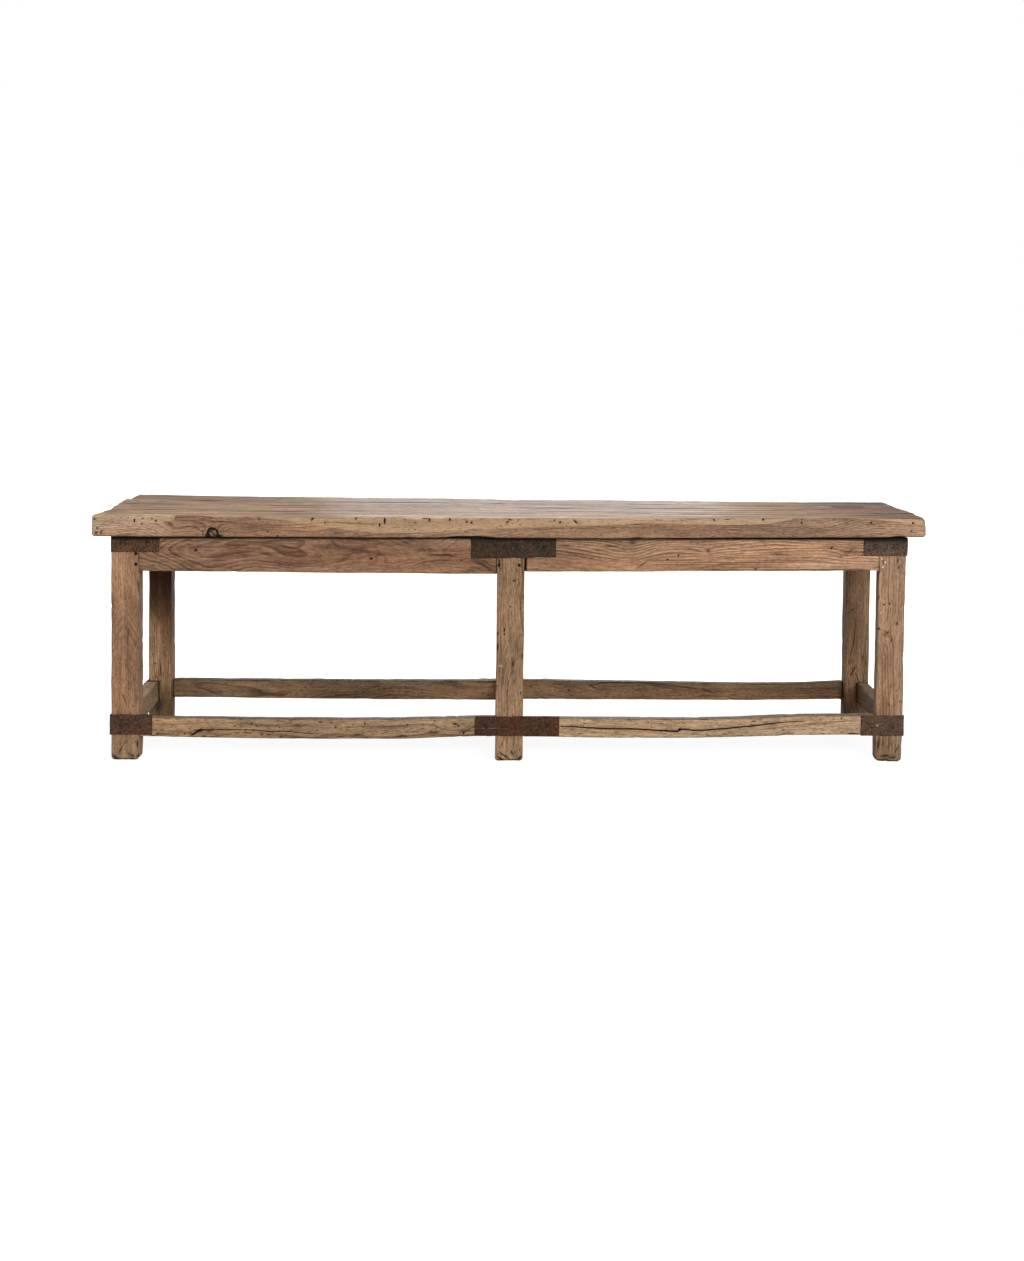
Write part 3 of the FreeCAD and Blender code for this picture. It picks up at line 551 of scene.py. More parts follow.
# Marks seen on the fronts, in millimetres: x, height, half length, half width, turn in degrees, and stain.
# Stains up to 1 are brown, those above are black and dented, and those below 0 are pale.
MARKS = {
    "front_plank": (
        (-1284, 762, 4, 2.8, 20, 1.3), (-1277, 735, 4, 2.5, 60, 1.0), (-1280, 719, 5, 3, 10, 1.3),
        (-1265, 720, 4, 3, 70, 1.2), (-1262, 727, 3, 2.5, 0, 1.0), (-1160, 758, 6.5, 2.6, 80, 1.4),
        (-1094, 757, 3.6, 3.6, 0, 1.5), (-1135, 764, 3, 2.5, 0, 1.0), (-1106, 764, 3, 2.5, 0, 1.0),
        (-1138, 748, 3, 3, 0, 1.2), (-1180, 740, 4, 2, 0, 0.8), (-774, 764, 6, 3, 0, 0.9),
        (-748, 723, 3, 3, 0, 1.1), (-609, 764, 7, 2.6, 55, 1.4), (-474, 766, 5.5, 2.6, 60, 1.4),
        (-571, 752, 3, 3, 0, 1.1), (-401, 746, 5.5, 2.6, 85, 1.4), (-385, 759, 11, 3, 88, 1.6),
        (-290, 753, 3.5, 2.5, 0, 1.0), (-291, 732, 5, 2, 0, 0.9), (-310, 732, 4, 2, 0, 0.8),
        (-322, 764, 6, 2, 0, 0.8), (-247, 763, 6.5, 2.6, 85, 1.4), (-260, 767, 10, 2, 0, 1.1),
        (-183, 764, 5.5, 2.6, 85, 1.4), (-131, 756, 3.5, 3.5, 0, 1.5), (-116, 754, 3.5, 3.5, 0, 1.5),
        (-198, 728, 6, 2, 0, 0.9), (-5, 756, 5, 2.6, 20, 1.3), (3, 764, 6.5, 2.2, 5, 1.2),
        (-25, 743, 8, 1.5, -35, 0.9), (158, 756, 3.5, 3.5, 0, 1.5), (141, 762, 3, 2.8, 0, 1.2),
        (206, 758, 9.5, 2.8, -45, 1.5), (28, 761, 4, 2, 30, 0.9), (34, 748, 5, 2, 10, 0.9),
        (285, 770, 10, 3, 10, 1.1), (393, 750, 22, 1.7, 2, 1.0), (508, 760, 3, 2, 0, 0.8),
        (635, 765, 6, 2.6, -70, 1.4), (675, 767, 10, 2, 0, 1.1), (787, 766, 3.5, 3.5, 0, 1.5),
        (906, 766, 3, 2.5, 0, 0.9), (906, 756, 3.4, 3.4, 0, 1.5), (1122, 757, 3.4, 3.4, 0, 1.5),
        (1044, 754, 3, 2, 0, 0.9), (1251, 756, 3.4, 3.4, 0, 1.5), (1247, 731, 3, 3, 0, 1.2),
    ),
    "front_left_leg": (
        (-1190, 642, 3.2, 3.2, 0, -0.4), (-1179, 628, 3.2, 3.2, 0, -0.3), (-1190, 226, 2.6, 2.4, 0, 1.0),
        (-1175, 314, 2.4, 2.2, 0, 1.0), (-1178, 170, 3.2, 2.6, 0, 1.0), (-1217, 305, 2.4, 2.4, 0, 0.9),
        (-1231, 172, 3.2, 2.4, 0, 0.8), (-1217, 34, 15, 2.6, 60, 0.8), (-1201, 57, 12, 2.6, 50, 0.7),
        (-1164, 50, 12, 3.1, 88, 1.0), (-1181, 16, 12, 2.6, -30, 0.8), (-1233, 9, 9, 3.1, -40, 0.9),
        (-1161, 16, 9, 3.7, 50, 1.0), (-1226, 636, 18, 4.5, 86, -0.15), (-1203, 560, 20, 9, 70, -0.10),
    ),
    "front_middle_leg": (
        (-30, 628, 11, 2.6, 92, 1.4), (-21, 634, 2.8, 2.8, 0, 1.0), (-28, 608, 3.2, 2.6, 0, 1.0),
        (17, 569, 7.5, 4.7, 20, 0.8), (37, 482, 6, 2.4, 80, 0.8), (-14, 414, 7, 2.6, 90, 1.3),
        (-14, 401, 5, 2.6, 90, 1.2), (-34, 403, 6, 2.8, 90, 1.0), (-35, 360, 11, 3.2, 90, 1.3),
        (24, 367, 25, 10, 80, 0.3), (-9, 362, 12, 2.2, 80, -0.4), (-2, 335, 15, 2.2, 70, -0.4),
        (13, 306, 11, 4, 90, 1.0), (13, 284, 8, 2.8, 88, 0.8), (-26, 301, 9, 3.0, 0, -0.5),
        (38, 215, 3, 2.8, 0, 1.4), (42, 331, 11, 2.5, 88, 0.9), (-29, 259, 19, 2.5, 90, 0.5),
        (-18, 254, 19, 2.5, 90, 0.5), (-15, 19, 22, 2.8, -35, 1.0), (12, 24, 12, 2.6, -60, 0.9),
        (-29, 10, 12, 2.8, -30, 1.0), (34, 10, 12, 3.1, 30, 0.9), (-20, 56, 12, 2.4, 70, 0.6),
    ),
    "front_right_leg": (
        (1168, 635, 12, 7.5, 90, 0.5), (1165, 641, 3, 2.8, 0, -1.6), (1175, 630, 3, 2.8, 0, -1.7),
        (1167, 615, 3, 2.5, 0, -1.4), (1214, 635, 10, 3.7, 75, 0.8), (1217, 615, 8, 3.1, 60, 0.8),
        (1172, 497, 3, 3, 0, 1.5), (1190, 500, 3, 3, 0, 1.5), (1163, 471, 7.5, 2.2, 45, -0.6),
        (1213, 438, 7.5, 3.4, 70, 0.9), (1156, 421, 6, 3.6, -20, 1.2), (1174, 414, 12, 2.4, -25, 0.65),
        (1186, 410, 4.5, 2.8, 60, 0.9), (1190, 398, 13, 2.6, -48, 0.6), (1197, 384, 6.5, 3.1, 65, 0.8),
        (1172, 402, 9, 2.4, -50, 0.6), (1215, 226, 4, 2.2, 40, 0.9), (1191, 183, 5, 2.4, 70, 0.9),
        (1180, 20, 19, 3.4, 4, 0.8), (1218, 41, 12, 3.1, 60, 0.8), (1204, 14, 15, 3.7, 0, 0.9),
        (1160, 54, 24, 3.0, 84, 1.1),
    ),
    "back_left_leg": (
        (-1216, 442, 5, 4.4, 0, 0.8), (-1215, 410, 5, 4, 0, 0.8), (-1216, 207, 4, 2.8, 0, 0.9),
        (-1199, 186, 26, 2.4, 87, 1.0), (-1204, 434, 17, 7, 60, 0.4), (-1215, 160, 4, 2.8, 0, 0.9),
        # The last two marks are painted shadow under the end stretcher.
        (-1209, 60, 17, 24, 0, 0.75), (-1192, 74, 14, 12, 0, 0.30),
    ),
    "back_right_leg": (
        (1181, 401, 7.5, 3.4, 20, 0.9), (1169, 391, 10, 5.5, 10, 0.5), (1164, 428, 7, 5, 0, 0.5),
        (1171, 218, 17, 2.2, 65, 0.7), (1228, 214, 20, 2.4, -75, 0.7),
    ),
    "front_left_apron": (
        (-978, 663, 7.5, 5, 40, 1.0), (-968, 654, 12, 2.5, -40, 0.7), (-997, 679, 3.7, 3.1, 0, 0.8),
        (-695, 673, 36, 3.1, -11, 0.9), (-849, 671, 19, 2.5, 20, 0.6), (-839, 651, 28, 2.5, -18, 0.6),
        (-784, 667, 28, 2.2, 18, 0.5), (-761, 655, 31, 2.2, -10, 0.5), (-917, 686, 22, 3.1, 8, 0.5),
        (-430, 637, 4.1, 3.4, 0, 1.5), (-432, 638, 11, 8, 0, 0.25), (-541, 681, 17, 2.8, -38, 0.8),
        (-461, 664, 53, 2.8, -8, 0.65), (-404, 656, 15, 2.5, -55, 0.6), (-209, 648, 53, 3.4, -2, 0.9),
        (-242, 628, 44, 2.2, 0, 0.6), (-149, 632, 3.7, 2.5, 0, 1.1), (-84, 620, 34, 5.6, -28, 0.75),
        (-71, 627, 19, 2.8, -38, 0.7), (-112, 609, 25, 2.5, -8, 0.6), (-336, 662, 22, 2, -42, -0.3),
        (-324, 654, 19, 2.2, -48, 0.6),
    ),
    "front_right_apron": (
        (181, 680, 26, 2.5, -5, 0.65), (317, 678, 31, 2.5, 0, 0.9), (385, 690, 12, 8, 0, 0.55),
        (384, 638, 31, 6, 90, 0.28), (495, 637, 3, 2.6, 0, 1.4), (529, 650, 5, 2.4, 60, 1.3),
        (622, 664, 11, 10, 0, 0.50), (621, 665, 3.2, 2.8, 0, 0.4), (567, 671, 25, 2.2, -10, 0.6),
        (417, 623, 22, 2.2, 28, 0.55), (409, 614, 22, 2.2, 32, 0.5), (842, 654, 31, 2.8, -1, 0.75),
        (1007, 674, 5.3, 2.8, 60, 1.3), (1056, 664, 19, 11, 25, 0.3), (1051, 655, 7, 2.8, -30, 0.35),
        (1035, 647, 7.5, 2.5, 10, 0.5), (1068, 667, 12, 2.2, 40, 0.45), (1080, 654, 11, 2.2, 60, 0.4),
        (1057, 634, 11, 2.2, 70, 0.4), (770, 608, 4, 2.2, 0, 1.1), (865, 635, 140, 2.6, 0, 0.65),
        (530, 635, 112, 2.6, 0.6, 0.6), (230, 664, 90, 3.0, -12, 0.55), (250, 640, 100, 3.0, -14, 0.45),
        (720, 628, 280, 2.3, 0, 0.62), (690, 621, 260, 2.3, 0.2, 0.60), (730, 613.5, 300, 2.3, 0, 0.60),
        (680, 606.5, 260, 2.4, 0, 0.64), (760, 644, 180, 2.3, 0.3, 0.55),
    ),
    "front_left_stretcher": (
        (-984, 86, 17, 3.5, 31, 1.5), (-968, 93, 12, 4, 10, 1.1), (-936, 94, 12, 3, 5, 0.8),
        (-956, 76, 8, 2.5, 0, 1.0), (-774, 83, 5, 3, 80, 1.2), (-819, 87, 16, 2, -3, 0.9),
        (-806, 117, 3.2, 3.2, 0, 1.5), (-791, 112, 3, 2.4, 60, 1.2), (-837, 108, 9, 6, 0, 0.5),
        (-719, 105, 4, 3, 0, 0.9), (-660, 111, 14, 7, -8, 0.65), (-591, 122, 8, 2.4, 0, 1.1),
        (-713, 76, 8, 2.4, 0, 1.0), (-1101, 84, 6, 3, 0, 1.0), (-543, 106, 3.2, 2.8, 0, 1.3),
        (-554, 120, 3, 2.6, 0, 1.2), (-487, 114, 3, 2.5, 0, 1.1), (-451, 118, 7, 2.4, 90, 1.2),
        (-392, 108, 3, 2.5, 0, 1.1), (-317, 114, 5, 2.5, 70, 1.1), (-232, 126, 3, 2.4, 0, 1.1),
        (-168, 117, 9, 3, -10, 1.3), (-157, 110, 5, 3, -60, 1.2), (-141, 88, 3.4, 3.4, 0, 1.6),
        (-236, 91, 25, 2.3, 4, 1.1), (-134, 94, 25, 1.8, 6, 0.9), (-338, 78, 25, 2.6, 3, 1.1),
        (-472, 82, 19, 2.6, 0, 1.0), (-526, 76, 14, 2.2, 0, 1.0),
    ),
    "front_right_stretcher": (
        (537, 101, 6, 4.5, 20, 1.5), (342, 91, 10, 4.5, 0, 0.5), (585, 90, 19, 4, 0, 0.45),
        (489, 88, 11, 4, 0, 0.5), (389, 137, 3, 2.4, 0, 1.1), (467, 134, 3, 2.4, 0, 1.1),
        (618, 135, 8, 2.2, 0, 1.2), (769, 128, 6, 2.2, 10, 1.1), (1044, 139, 3, 2.8, 0, 1.3),
        (859, 110, 2.6, 2.2, 0, 1.0), (945, 115, 3, 2.2, 0, 0.9), (1081, 90, 17, 2.4, -3, 1.0),
        (699, 91, 16, 4, 0, 0.4),
    ),
    "back_right_stretcher": (
        (316, 136, 44, 3.4, 10, 0.80), (402, 140, 60, 3.2, 0, 0.80), (510, 134, 70, 3.4, -6, 0.80),
        (622, 122, 60, 3.4, -8, 0.80), (694, 109, 26, 3.4, -20, 0.80), (676, 93, 44, 3.2, 3, 0.75),
        (290, 125, 20, 3.2, -30, 0.80), (330, 117, 34, 3.2, -6, 0.65), (560, 119, 80, 3.2, -9, 0.60),
        (190, 116, 70, 3.0, -12, 0.50), (208, 112, 4.0, 3.6, 0, 0.8), (900, 114, 60, 14, 0, 0.30),
    ),
    "front_middle_lower_strap": (
        (-68, 104, 36, 1.8, 2, -0.45), (-84, 96, 4, 3.5, 0, 1.0), (-37, 98, 4, 3.5, 0, 1.0),
    ),
    "front_right_lower_strap": ((1155, 117, 4, 4, 0, -0.8),),
}

# Front edge of the top: where the pale sapwood begins, as x and height; above the top there is none.
SAP_EDGE = (
    (-1.300, 0.722), (-1.289, 0.725), (-1.272, 0.742), (-1.251, 0.756), (-1.215, 0.748), (-1.174, 0.744),
    (-1.120, 0.747), (-1.081, 0.749), (-1.040, 0.758), (-1.028, 0.764), (-1.015, 0.790), (-0.790, 0.790),
    (-0.765, 0.767), (-0.700, 0.760), (-0.647, 0.752), (-0.508, 0.732), (-0.420, 0.725), (-0.338, 0.723),
    (-0.152, 0.728), (-0.022, 0.738), (0.189, 0.745), (0.437, 0.755), (0.560, 0.751), (0.653, 0.749),
    (0.740, 0.750), (0.808, 0.753), (0.879, 0.767), (0.900, 0.790), (1.050, 0.790), (1.071, 0.769),
    (1.180, 0.761), (1.248, 0.749), (1.300, 0.748),
)
# Lines of the top: how far its front upper, front lower and back upper edges rise above straight, by x.
FRONT_RISE = ((-1.300, 0.0050), (-0.650, 0.0), (0.0, -0.0022), (0.650, -0.0012), (1.300, 0.0030))
UNDER_RISE = (
    (-1.300, 0.0), (-0.650, -0.001), (-0.24, -0.0015), (-0.20, 0.000), (-0.165, 0.0035), (-0.09, 0.0040),
    (-0.04, -0.002), (0.20, -0.0025), (0.650, 0.0), (1.180, 0.004), (1.210, 0.009), (1.235, 0.005),
    (1.300, 0.0055),
)
BACK_RISE = (
    (-1.300, 0.0130), (-0.980, 0.0070), (-0.687, 0.0045), (-0.269, 0.0020), (0.0, -0.0024), (0.274, -0.0034),
    (0.629, -0.0060), (0.942, -0.0086), (1.300, -0.0080),
)
UNDER_REACH = 0.043
# Dark flecks in the upper side: x, y and half length.
TOP_FLECKS = (
    (-1.02, 0.26, 0.012), (-0.86, -0.22, 0.010), (-0.72, 0.10, 0.016), (-0.55, 0.33, 0.010),
    (-0.41, -0.30, 0.014), (-0.24, 0.05, 0.010), (-0.07, 0.20, 0.022), (0.13, -0.14, 0.012),
    (0.31, 0.12, 0.030), (0.47, -0.26, 0.012), (0.58, 0.28, 0.014), (0.66, -0.05, 0.034),
    (0.83, 0.16, 0.010), (0.97, -0.18, 0.016), (1.08, 0.30, 0.010),
)
# Planks: how far short of the end they stop at left front, left back, right front and right back, tone, seed.
PLANKS = {
    "front_plank": ((0.0060, 0.0220, 0.0066, 0.0022), (1.0, 1.0, 1.0), 11),
    "inner_front_plank": ((0.0220, 0.0088, 0.0022, 0.0044), (1.04, 1.02, 1.0), 25),
    "inner_back_plank": ((0.0088, 0.0, 0.0066, 0.0022), (0.94, 0.93, 0.92), 37),
    "back_plank": ((0.0132, 0.0099, 0.0, 0.0), (0.93, 0.93, 0.95), 53),
}
END_REACH = 0.2
# How light the heartwood of the front edge and the upper side are, by x; on the upper side partly painted
# sheen.
EDGE_TONE = (
    (-1.300, 1.30), (-1.100, 1.19), (-0.900, 1.08), (-0.500, 1.00), (0.050, 0.91), (0.500, 0.84),
    (0.850, 0.72), (1.050, 0.76), (1.300, 1.02),
)
TOP_TONE_AND_SHEEN = (
    (-1.300, 1.30), (-0.800, 1.36), (-0.500, 1.05), (0.400, 0.98), (0.700, 1.26), (0.940, 1.32),
    (1.080, 0.92), (1.300, 0.54),
)
# Change of tone where the front edge is paler, at its left end and high near the right one,
# and where the top is warmer, at its right end.
LEFT_LIFT, RIGHT_LIFT, WARM_END = (0.16, 0.26, 0.38), (0.36, 0.38, 0.48), (-0.06, -0.20, -0.40)
RIGHT_PALER, RIGHT_PALER_REACH = (0.985, TOP_FRONT, 0.752), (0.11, 0.05, 0.014)
EDGE_PATCH, TOP_PATCH = box("front_edge_patch"), box("top_patch")
EITHER_SIDE = (-0.0003, 0.0003)
# Grid steps of the front plank and the others, lines at marks as shares of their reach, and at the knot.
FRONT_STEP, PLANK_STEP = (0.0065, 0.0150, 0.0024), (0.0075, 0.0075, 0.0080)
MARK_LINES = (-1.2, -0.6, 0.0, 0.6, 1.2)
KNOT_LINES = (-0.027, 0.029, 0.0018)
# Ragged ends, and arrises: their radius, its least, its two waves as depth and length, and what is added
# at the ends of all planks, along the front one, and at its right end from a place on.
RAGGED, RAGGED_SIZE = 0.0008, (0.06, 0.06)
PLANK_ROUND, LEAST_ROUND, ROUND_WAVES = 0.0030, 0.0012, ((0.0012, 0.21), (0.0006, 0.04))
AT_END, END_ROUND, FRONT_ROUND, RIGHT_ROUND, RIGHT_FROM, RIGHT_RUN = 0.997, 0.003, 0.0012, 0.014, 1.25, 0.05
PLANK_HOLLOWS = ((0.0007, (0.35, 0.07, 0.07)), (0.00035, (0.06, 0.02, 0.02)))
RIGHT_ROUND_HEIGHT, RIGHT_ROUND_LEAST = 0.06, 0.35
PLANK_NICKS, PLANK_NICK, EDGE_DIRT = 26, 0.0030, (0.40, 0.0035)
# Rings of the front plank: pith, spacing, sway, churn, slope of the sapwood, and swirls as rows of knots.
FRONT_PITH, FRONT_RINGS, FRONT_SWAY, FRONT_CHURN, SAP_SLOPE = (-0.31, 0.655), 0.0042, 0.010, 0.5, 0.45
FRONT_SWIRLS = (
    (-0.9185, 0.7185, 0.045, 0.05, 0.030, 5.0), (-1.04, 0.722, 0.08, 0.06, 0.03, 4.0),
    (-0.80, 0.760, 0.08, 0.06, 0.03, 2.0), (0.98, 0.745, 0.10, 0.06, 0.025, 2.2),
    (0.42, 0.715, 0.16, 0.06, 0.02, -1.6), (-0.62, 0.715, 0.16, 0.06, 0.02, 1.4),
)
# Cracks as place along, place across and half width: in the front edge, in the front plank's upper side,
# and from the middle of each of the others at their right end and near their middle.
EDGE_CRACK = ((-0.60, 0.758, 0.0), (-0.52, 0.753, 0.0008), (-0.44, 0.749, 0.0006), (-0.36, 0.751, 0.0))
TOP_CRACK = ((-1.30, -0.30, 0.0016), (-1.10, -0.305, 0.0012), (-0.85, -0.300, 0.0))
END_CHECK = ((0.80, 0.018, 0.0), (1.12, 0.026, 0.0012), (1.30, 0.020, 0.0018))
INNER_CHECK = ((-0.42, -0.050, 0.0), (-0.25, -0.047, 0.0010), (0.10, -0.052, 0.0))
EDGE_CRACK_DEPTH, TOP_CRACK_DEPTH, CHECKS = 0.001, 0.003, ((END_CHECK, 0.003), (INNER_CHECK, 0.002))
# Rings of the other planks: pith from the middle, its height, spacing, sway, churn, and knots in a run.
PLANK_PITH, PITH_HEIGHT, PLANK_RINGS, PLANK_SWAY, PLANK_CHURN = 0.03, 0.66, 0.0060, 0.014, 0.6
KNOT_RUN, KNOT_STRAY, KNOT_REACH, KNOT_RISE = 1.1, 0.04, (0.07, 0.03, 0.05), 4.0
# Darkening of a seam on the upper side and in the joint, then a dark place and flecks on the top.
SEAM_REACH, SEAM_DARK, SEAM_BREAKS, JOINT_REACH, JOINT_DARK = 0.013, 0.75, 0.25, 0.0035, 0.9
DARK_PLACE, DARK_REACH, DARK_STAIN = (-1.16, 0.07, TOP_HIGH), (0.07, 0.09, 0.02), 0.30
FLECK_WIDE, FLECK_TALL, FLECK_DARK = 0.012, 0.02, 0.9
# Streaks of the upper side as strength and size, their range, its colour, paler partly as a painted sheen,
# and the underside's, and how weathered planks are, the upper side less.
STREAKS = ((0.50, (0.85, 0.045)), (0.36, (0.30, 0.032)))
STREAK_RANGE, UPPER_BLEACH_AND_SHEEN, UNDER_COLOUR = (0.35, 2), (1.36, 1.40, 1.31), (0.62, 0.60, 0.58)
PLANK_AGE, UPPER_LESS = 0.8, 0.4
# Darker places of the upper side: how much, and from where and over what length along y and x. Then where
# its warm end and the front edge's lift set in along x, and over what height heartwood turns to sapwood.
DARKER = ((0.3, (0.1, 0.25), (-0.6, -0.2)), (0.4, (-0.2, -0.10), (1.08, 0.10)))
WARM_FROM, LIFT_FROM, SAP_FADE = (1.02, 0.10), (-1.04, -0.05), 0.004
# Pale wood beside the patch in the top: how far to either side, reach, the depth it keeps to, and stain.
BESIDE_PATCH, BESIDE_REACH, BESIDE_Y, BESIDE_DEEP, BESIDE_STAIN = 0.085, 0.022, 0.118, 0.07, -0.22
# The knot in the front edge: its middle, the radius and width of the black line round it, and their lobes
# as size, count and turn. Then its dents: x from the middle, height, reach along x and z, depth, stain.
KNOT, KNOT_DEEP, KNOT_FLAT = (-0.9185, TOP_FRONT, 0.7185), 0.02, 0.95
KNOT_RADIUS, KNOT_LOBES = 0.0148, ((0.0007, 2, 0.6), (0.0004, 5, 2.0))
KNOT_LINE, LINE_LOBES, LINE_SINK = 0.0033, ((0.0012, 1, -2.2), (0.0005, 3, 1.0)), 0.003
KNOT_DENTS = (
    (0.0, 0.7185, 0.013, 0.014, 0.002, 0.42), (-0.0160, 0.713, 0.007, 0.006, 0.003, 1.6),
    (0.0190, 0.711, 0.010, 0.004, 0.003, 1.6), (-0.004, 0.724, 0.007, 0.0025, 0.001, 0.9),
    (0.004, 0.715, 0.004, 0.0030, 0.001, 0.8),
)


def warp_top(point):
    """Moves the top up and down: its upper side by the front and back lines, its lower arris by its own."""
    x, y, z = point.T
    depth = (y - TOP_FRONT) / (TOP_BACK - TOP_FRONT)
    rise = read_off(FRONT_RISE, x) * (1 - depth) + read_off(BACK_RISE, x) * depth
    share = held((z - TOP_LOW) / (TOP_HIGH - TOP_LOW))
    under = read_off(UNDER_RISE, x) * held(1 - (y - TOP_FRONT) / UNDER_REACH)
    moved = point.copy()
    moved[:, 2] += rise * share + under * (1 - share)
    return moved


def near_end(x):
    """One at the right end of the top, falling straight to nothing at the end's reach."""
    return held(1 - (TOP_END - x) / END_REACH)


def laid(front, back, short, seed):
    """A move that draws in a plank's ends, from its front to its back corner, and warps it with the top."""

    def move(point):
        x, y, _ = point.T
        share = held((y - front) / (back - front))
        ragged = RAGGED * waves(point[:, 1:], RAGGED_SIZE, seed)
        left = short[0] + (short[1] - short[0]) * share + ragged
        right = short[2] + (short[3] - short[2]) * share + ragged
        moved = point.copy()
        moved[:, 0] += left * near_end(-x)
        moved[:, 0] -= right * near_end(x)
        return warp_top(moved)

    return move


def edge_lines(short):
    """Extra lines of x for the front plank: across its marks, close at the knot, and at the patch."""
    x, _, long, wide, turn, _ = np.array(MARKS["front_plank"]).T
    turn = np.radians(turn)
    reach = np.hypot(long * np.cos(turn), wide * np.sin(turn))
    across = (x + reach * np.array(MARK_LINES)[:, None]).ravel() / 1000
    across -= short[0] * near_end(-across)
    across += short[2] * near_end(across)
    start, stop, step = KNOT_LINES
    pocket = [side[0] + gap for side in EDGE_PATCH for gap in EITHER_SIDE]
    return np.unique(np.concatenate((across, np.arange(KNOT[0] + start, KNOT[0] + stop, step), pocket)))


def plank_grid(name, short):
    """A plank's grid steps and its extra lines: at marks, and just inside and outside the pockets."""
    if name == "front_plank":
        return FRONT_STEP, (edge_lines(short), [EDGE_PATCH[1][1]], [EDGE_PATCH[0][2]])
    if name == "inner_back_plank":
        x, y = ([side[axis] + gap for side in TOP_PATCH for gap in EITHER_SIDE] for axis in (0, 1))
        return PLANK_STEP, (x, y, ())
    return PLANK_STEP, ((), (), ())


def lobed(size, lobes, turn):
    """A size that goes in and out with the angle: plus a sum of cosines."""
    return size + sum(part * np.cos(count * turn + start) for part, count, start in lobes)


def draw_knot(board):
    """The knot: a dark core in a black line about a lobed arch, its radius and width sums of cosines."""
    right, up = board.seat[:, 0] - KNOT[0], board.seat[:, 2] - KNOT[2]
    turn = np.arctan2(up, right)
    away = np.hypot(right, KNOT_FLAT * up) - lobed(KNOT_RADIUS, KNOT_LOBES, turn)
    on_edge = board.normal[:, 1] < -0.5
    board.crack[on_edge, 0] = away[on_edge]
    board.split[on_edge, 0] = lobed(KNOT_LINE, LINE_LOBES, turn)[on_edge]
    board.point[:, 1] += LINE_SINK * on_edge * hump(away, LINE_SINK)
    for beside, height, wide, tall, depth, stain in KNOT_DENTS:
        board.press((KNOT[0] + beside, TOP_FRONT, height), (wide, KNOT_DEEP, tall), depth, stain)


def wear_plank(board, first, seed):
    """Rounds a plank's arrises by a wandering radius, most at its ends, and hollows and nicks it."""
    x, _, z = board.rest.T
    line = board.rest[:, :1]
    radius = PLANK_ROUND
    for number, (depth, length) in enumerate(ROUND_WAVES):
        radius = radius + depth * waves(line, length, seed + 7 + number)
    radius += END_ROUND * (np.abs(x) > AT_END * TOP_END)
    if first:
        higher = np.clip((z - TOP_LOW) / RIGHT_ROUND_HEIGHT, RIGHT_ROUND_LEAST, 1)
        radius += RIGHT_ROUND * ramp(x, RIGHT_FROM, RIGHT_RUN) * higher + FRONT_ROUND
    board.wear(np.maximum(radius, LEAST_ROUND))
    for number, (depth, size) in enumerate(PLANK_HOLLOWS):
        board.uneven(depth, size, seed + 9 + number)
    board.nick(PLANK_NICKS, PLANK_NICK, seed + 11)


def figure_front_plank(board, seed):
    """What only the front plank has: swirling rings, sapwood above a line, marks, the knot and cracks."""
    x, y, z = board.rest.T
    board.grow(FRONT_PITH, FRONT_RINGS, FRONT_SWAY, seed, knots(FRONT_SWIRLS, TOP_FRONT), FRONT_CHURN)
    board.sap = z - read_off(SAP_EDGE, x) - SAP_SLOPE * (y - TOP_FRONT)
    board.mark(MARKS["front_plank"])
    board.soil(*EDGE_DIRT, seed + 13)
    draw_knot(board)
    board.split_along(1, FORWARD, EDGE_CRACK, EDGE_CRACK_DEPTH)
    board.split_along(2, UPWARD, TOP_CRACK, TOP_CRACK_DEPTH)


def figure_inner_plank(board, upward, front, middle, seed):
    """What the other planks have: rings about three seeded knots, two checks, and darkening at the seam."""
    places = np.random.default_rng(seed).uniform(-KNOT_RUN, KNOT_RUN, 3)
    strays = middle + KNOT_STRAY * np.sin(seed + 9 * places)
    knotted = [((x, y, TOP_HIGH), KNOT_REACH, KNOT_RISE) for x, y in zip(places, strays)]
    board.grow((middle + PLANK_PITH, PITH_HEIGHT), PLANK_RINGS, PLANK_SWAY, seed, knotted, PLANK_CHURN)
    for channel, (check, depth) in enumerate(CHECKS):
        board.split_along(channel, UPWARD, [(x, middle + off, wide) for x, off, wide in check], depth)
    dirt = np.clip(0.5 + 0.5 * waves(board.rest[:, :1], SEAM_BREAKS, seed + 14), 0.1, 1)
    behind = board.rest[:, 1] - front
    board.stain += SEAM_DARK * dirt * upward * hump(behind, SEAM_REACH)
    board.stain += JOINT_DARK * hump(behind, JOINT_REACH)


def shade_plank(board, upward, tone, first, seed):
    """Plank tones: streaks along the top, lightness by x there, partly painted sheen, and in the edge; a dark
    underside.
    """
    x, y, _ = board.rest.T
    under = held(-board.normal[:, 2])
    plan = board.rest[:, :2]
    broad = sum(depth * waves(plan, size, seed + 15 + number) for number, (depth, size) in enumerate(STREAKS))
    broad = np.clip(1 + broad, *STREAK_RANGE) * read_off(TOP_TONE_AND_SHEEN, x)
    for share, along_y, along_x in DARKER:
        broad *= 1 - share * ramp(y, *along_y) * ramp(x, *along_x)
    # The paler, greyer upper side is partly painted sheen.
    lit = (broad * upward)[:, None] * np.array(UPPER_BLEACH_AND_SHEEN)
    lit *= 1 + ramp(x, *WARM_FROM)[:, None] * np.array(WARM_END)
    plain = (1 - upward - under)[:, None]
    if first:
        heart = held(0.5 - board.sap / SAP_FADE)
        plain = plain * (1 + heart * (read_off(EDGE_TONE, x) - 1))[:, None]
        plain = plain * (1 + ramp(x, *LIFT_FROM)[:, None] * np.array(LEFT_LIFT))
        plain = plain * (1 + board.bell(RIGHT_PALER, RIGHT_PALER_REACH)[:, None] * np.array(RIGHT_LIFT))
    colour = np.array(tone) * (plain + lit) + np.array(UNDER_COLOUR) * under[:, None]
    board.shade(colour, PLANK_AGE - UPPER_LESS * upward)


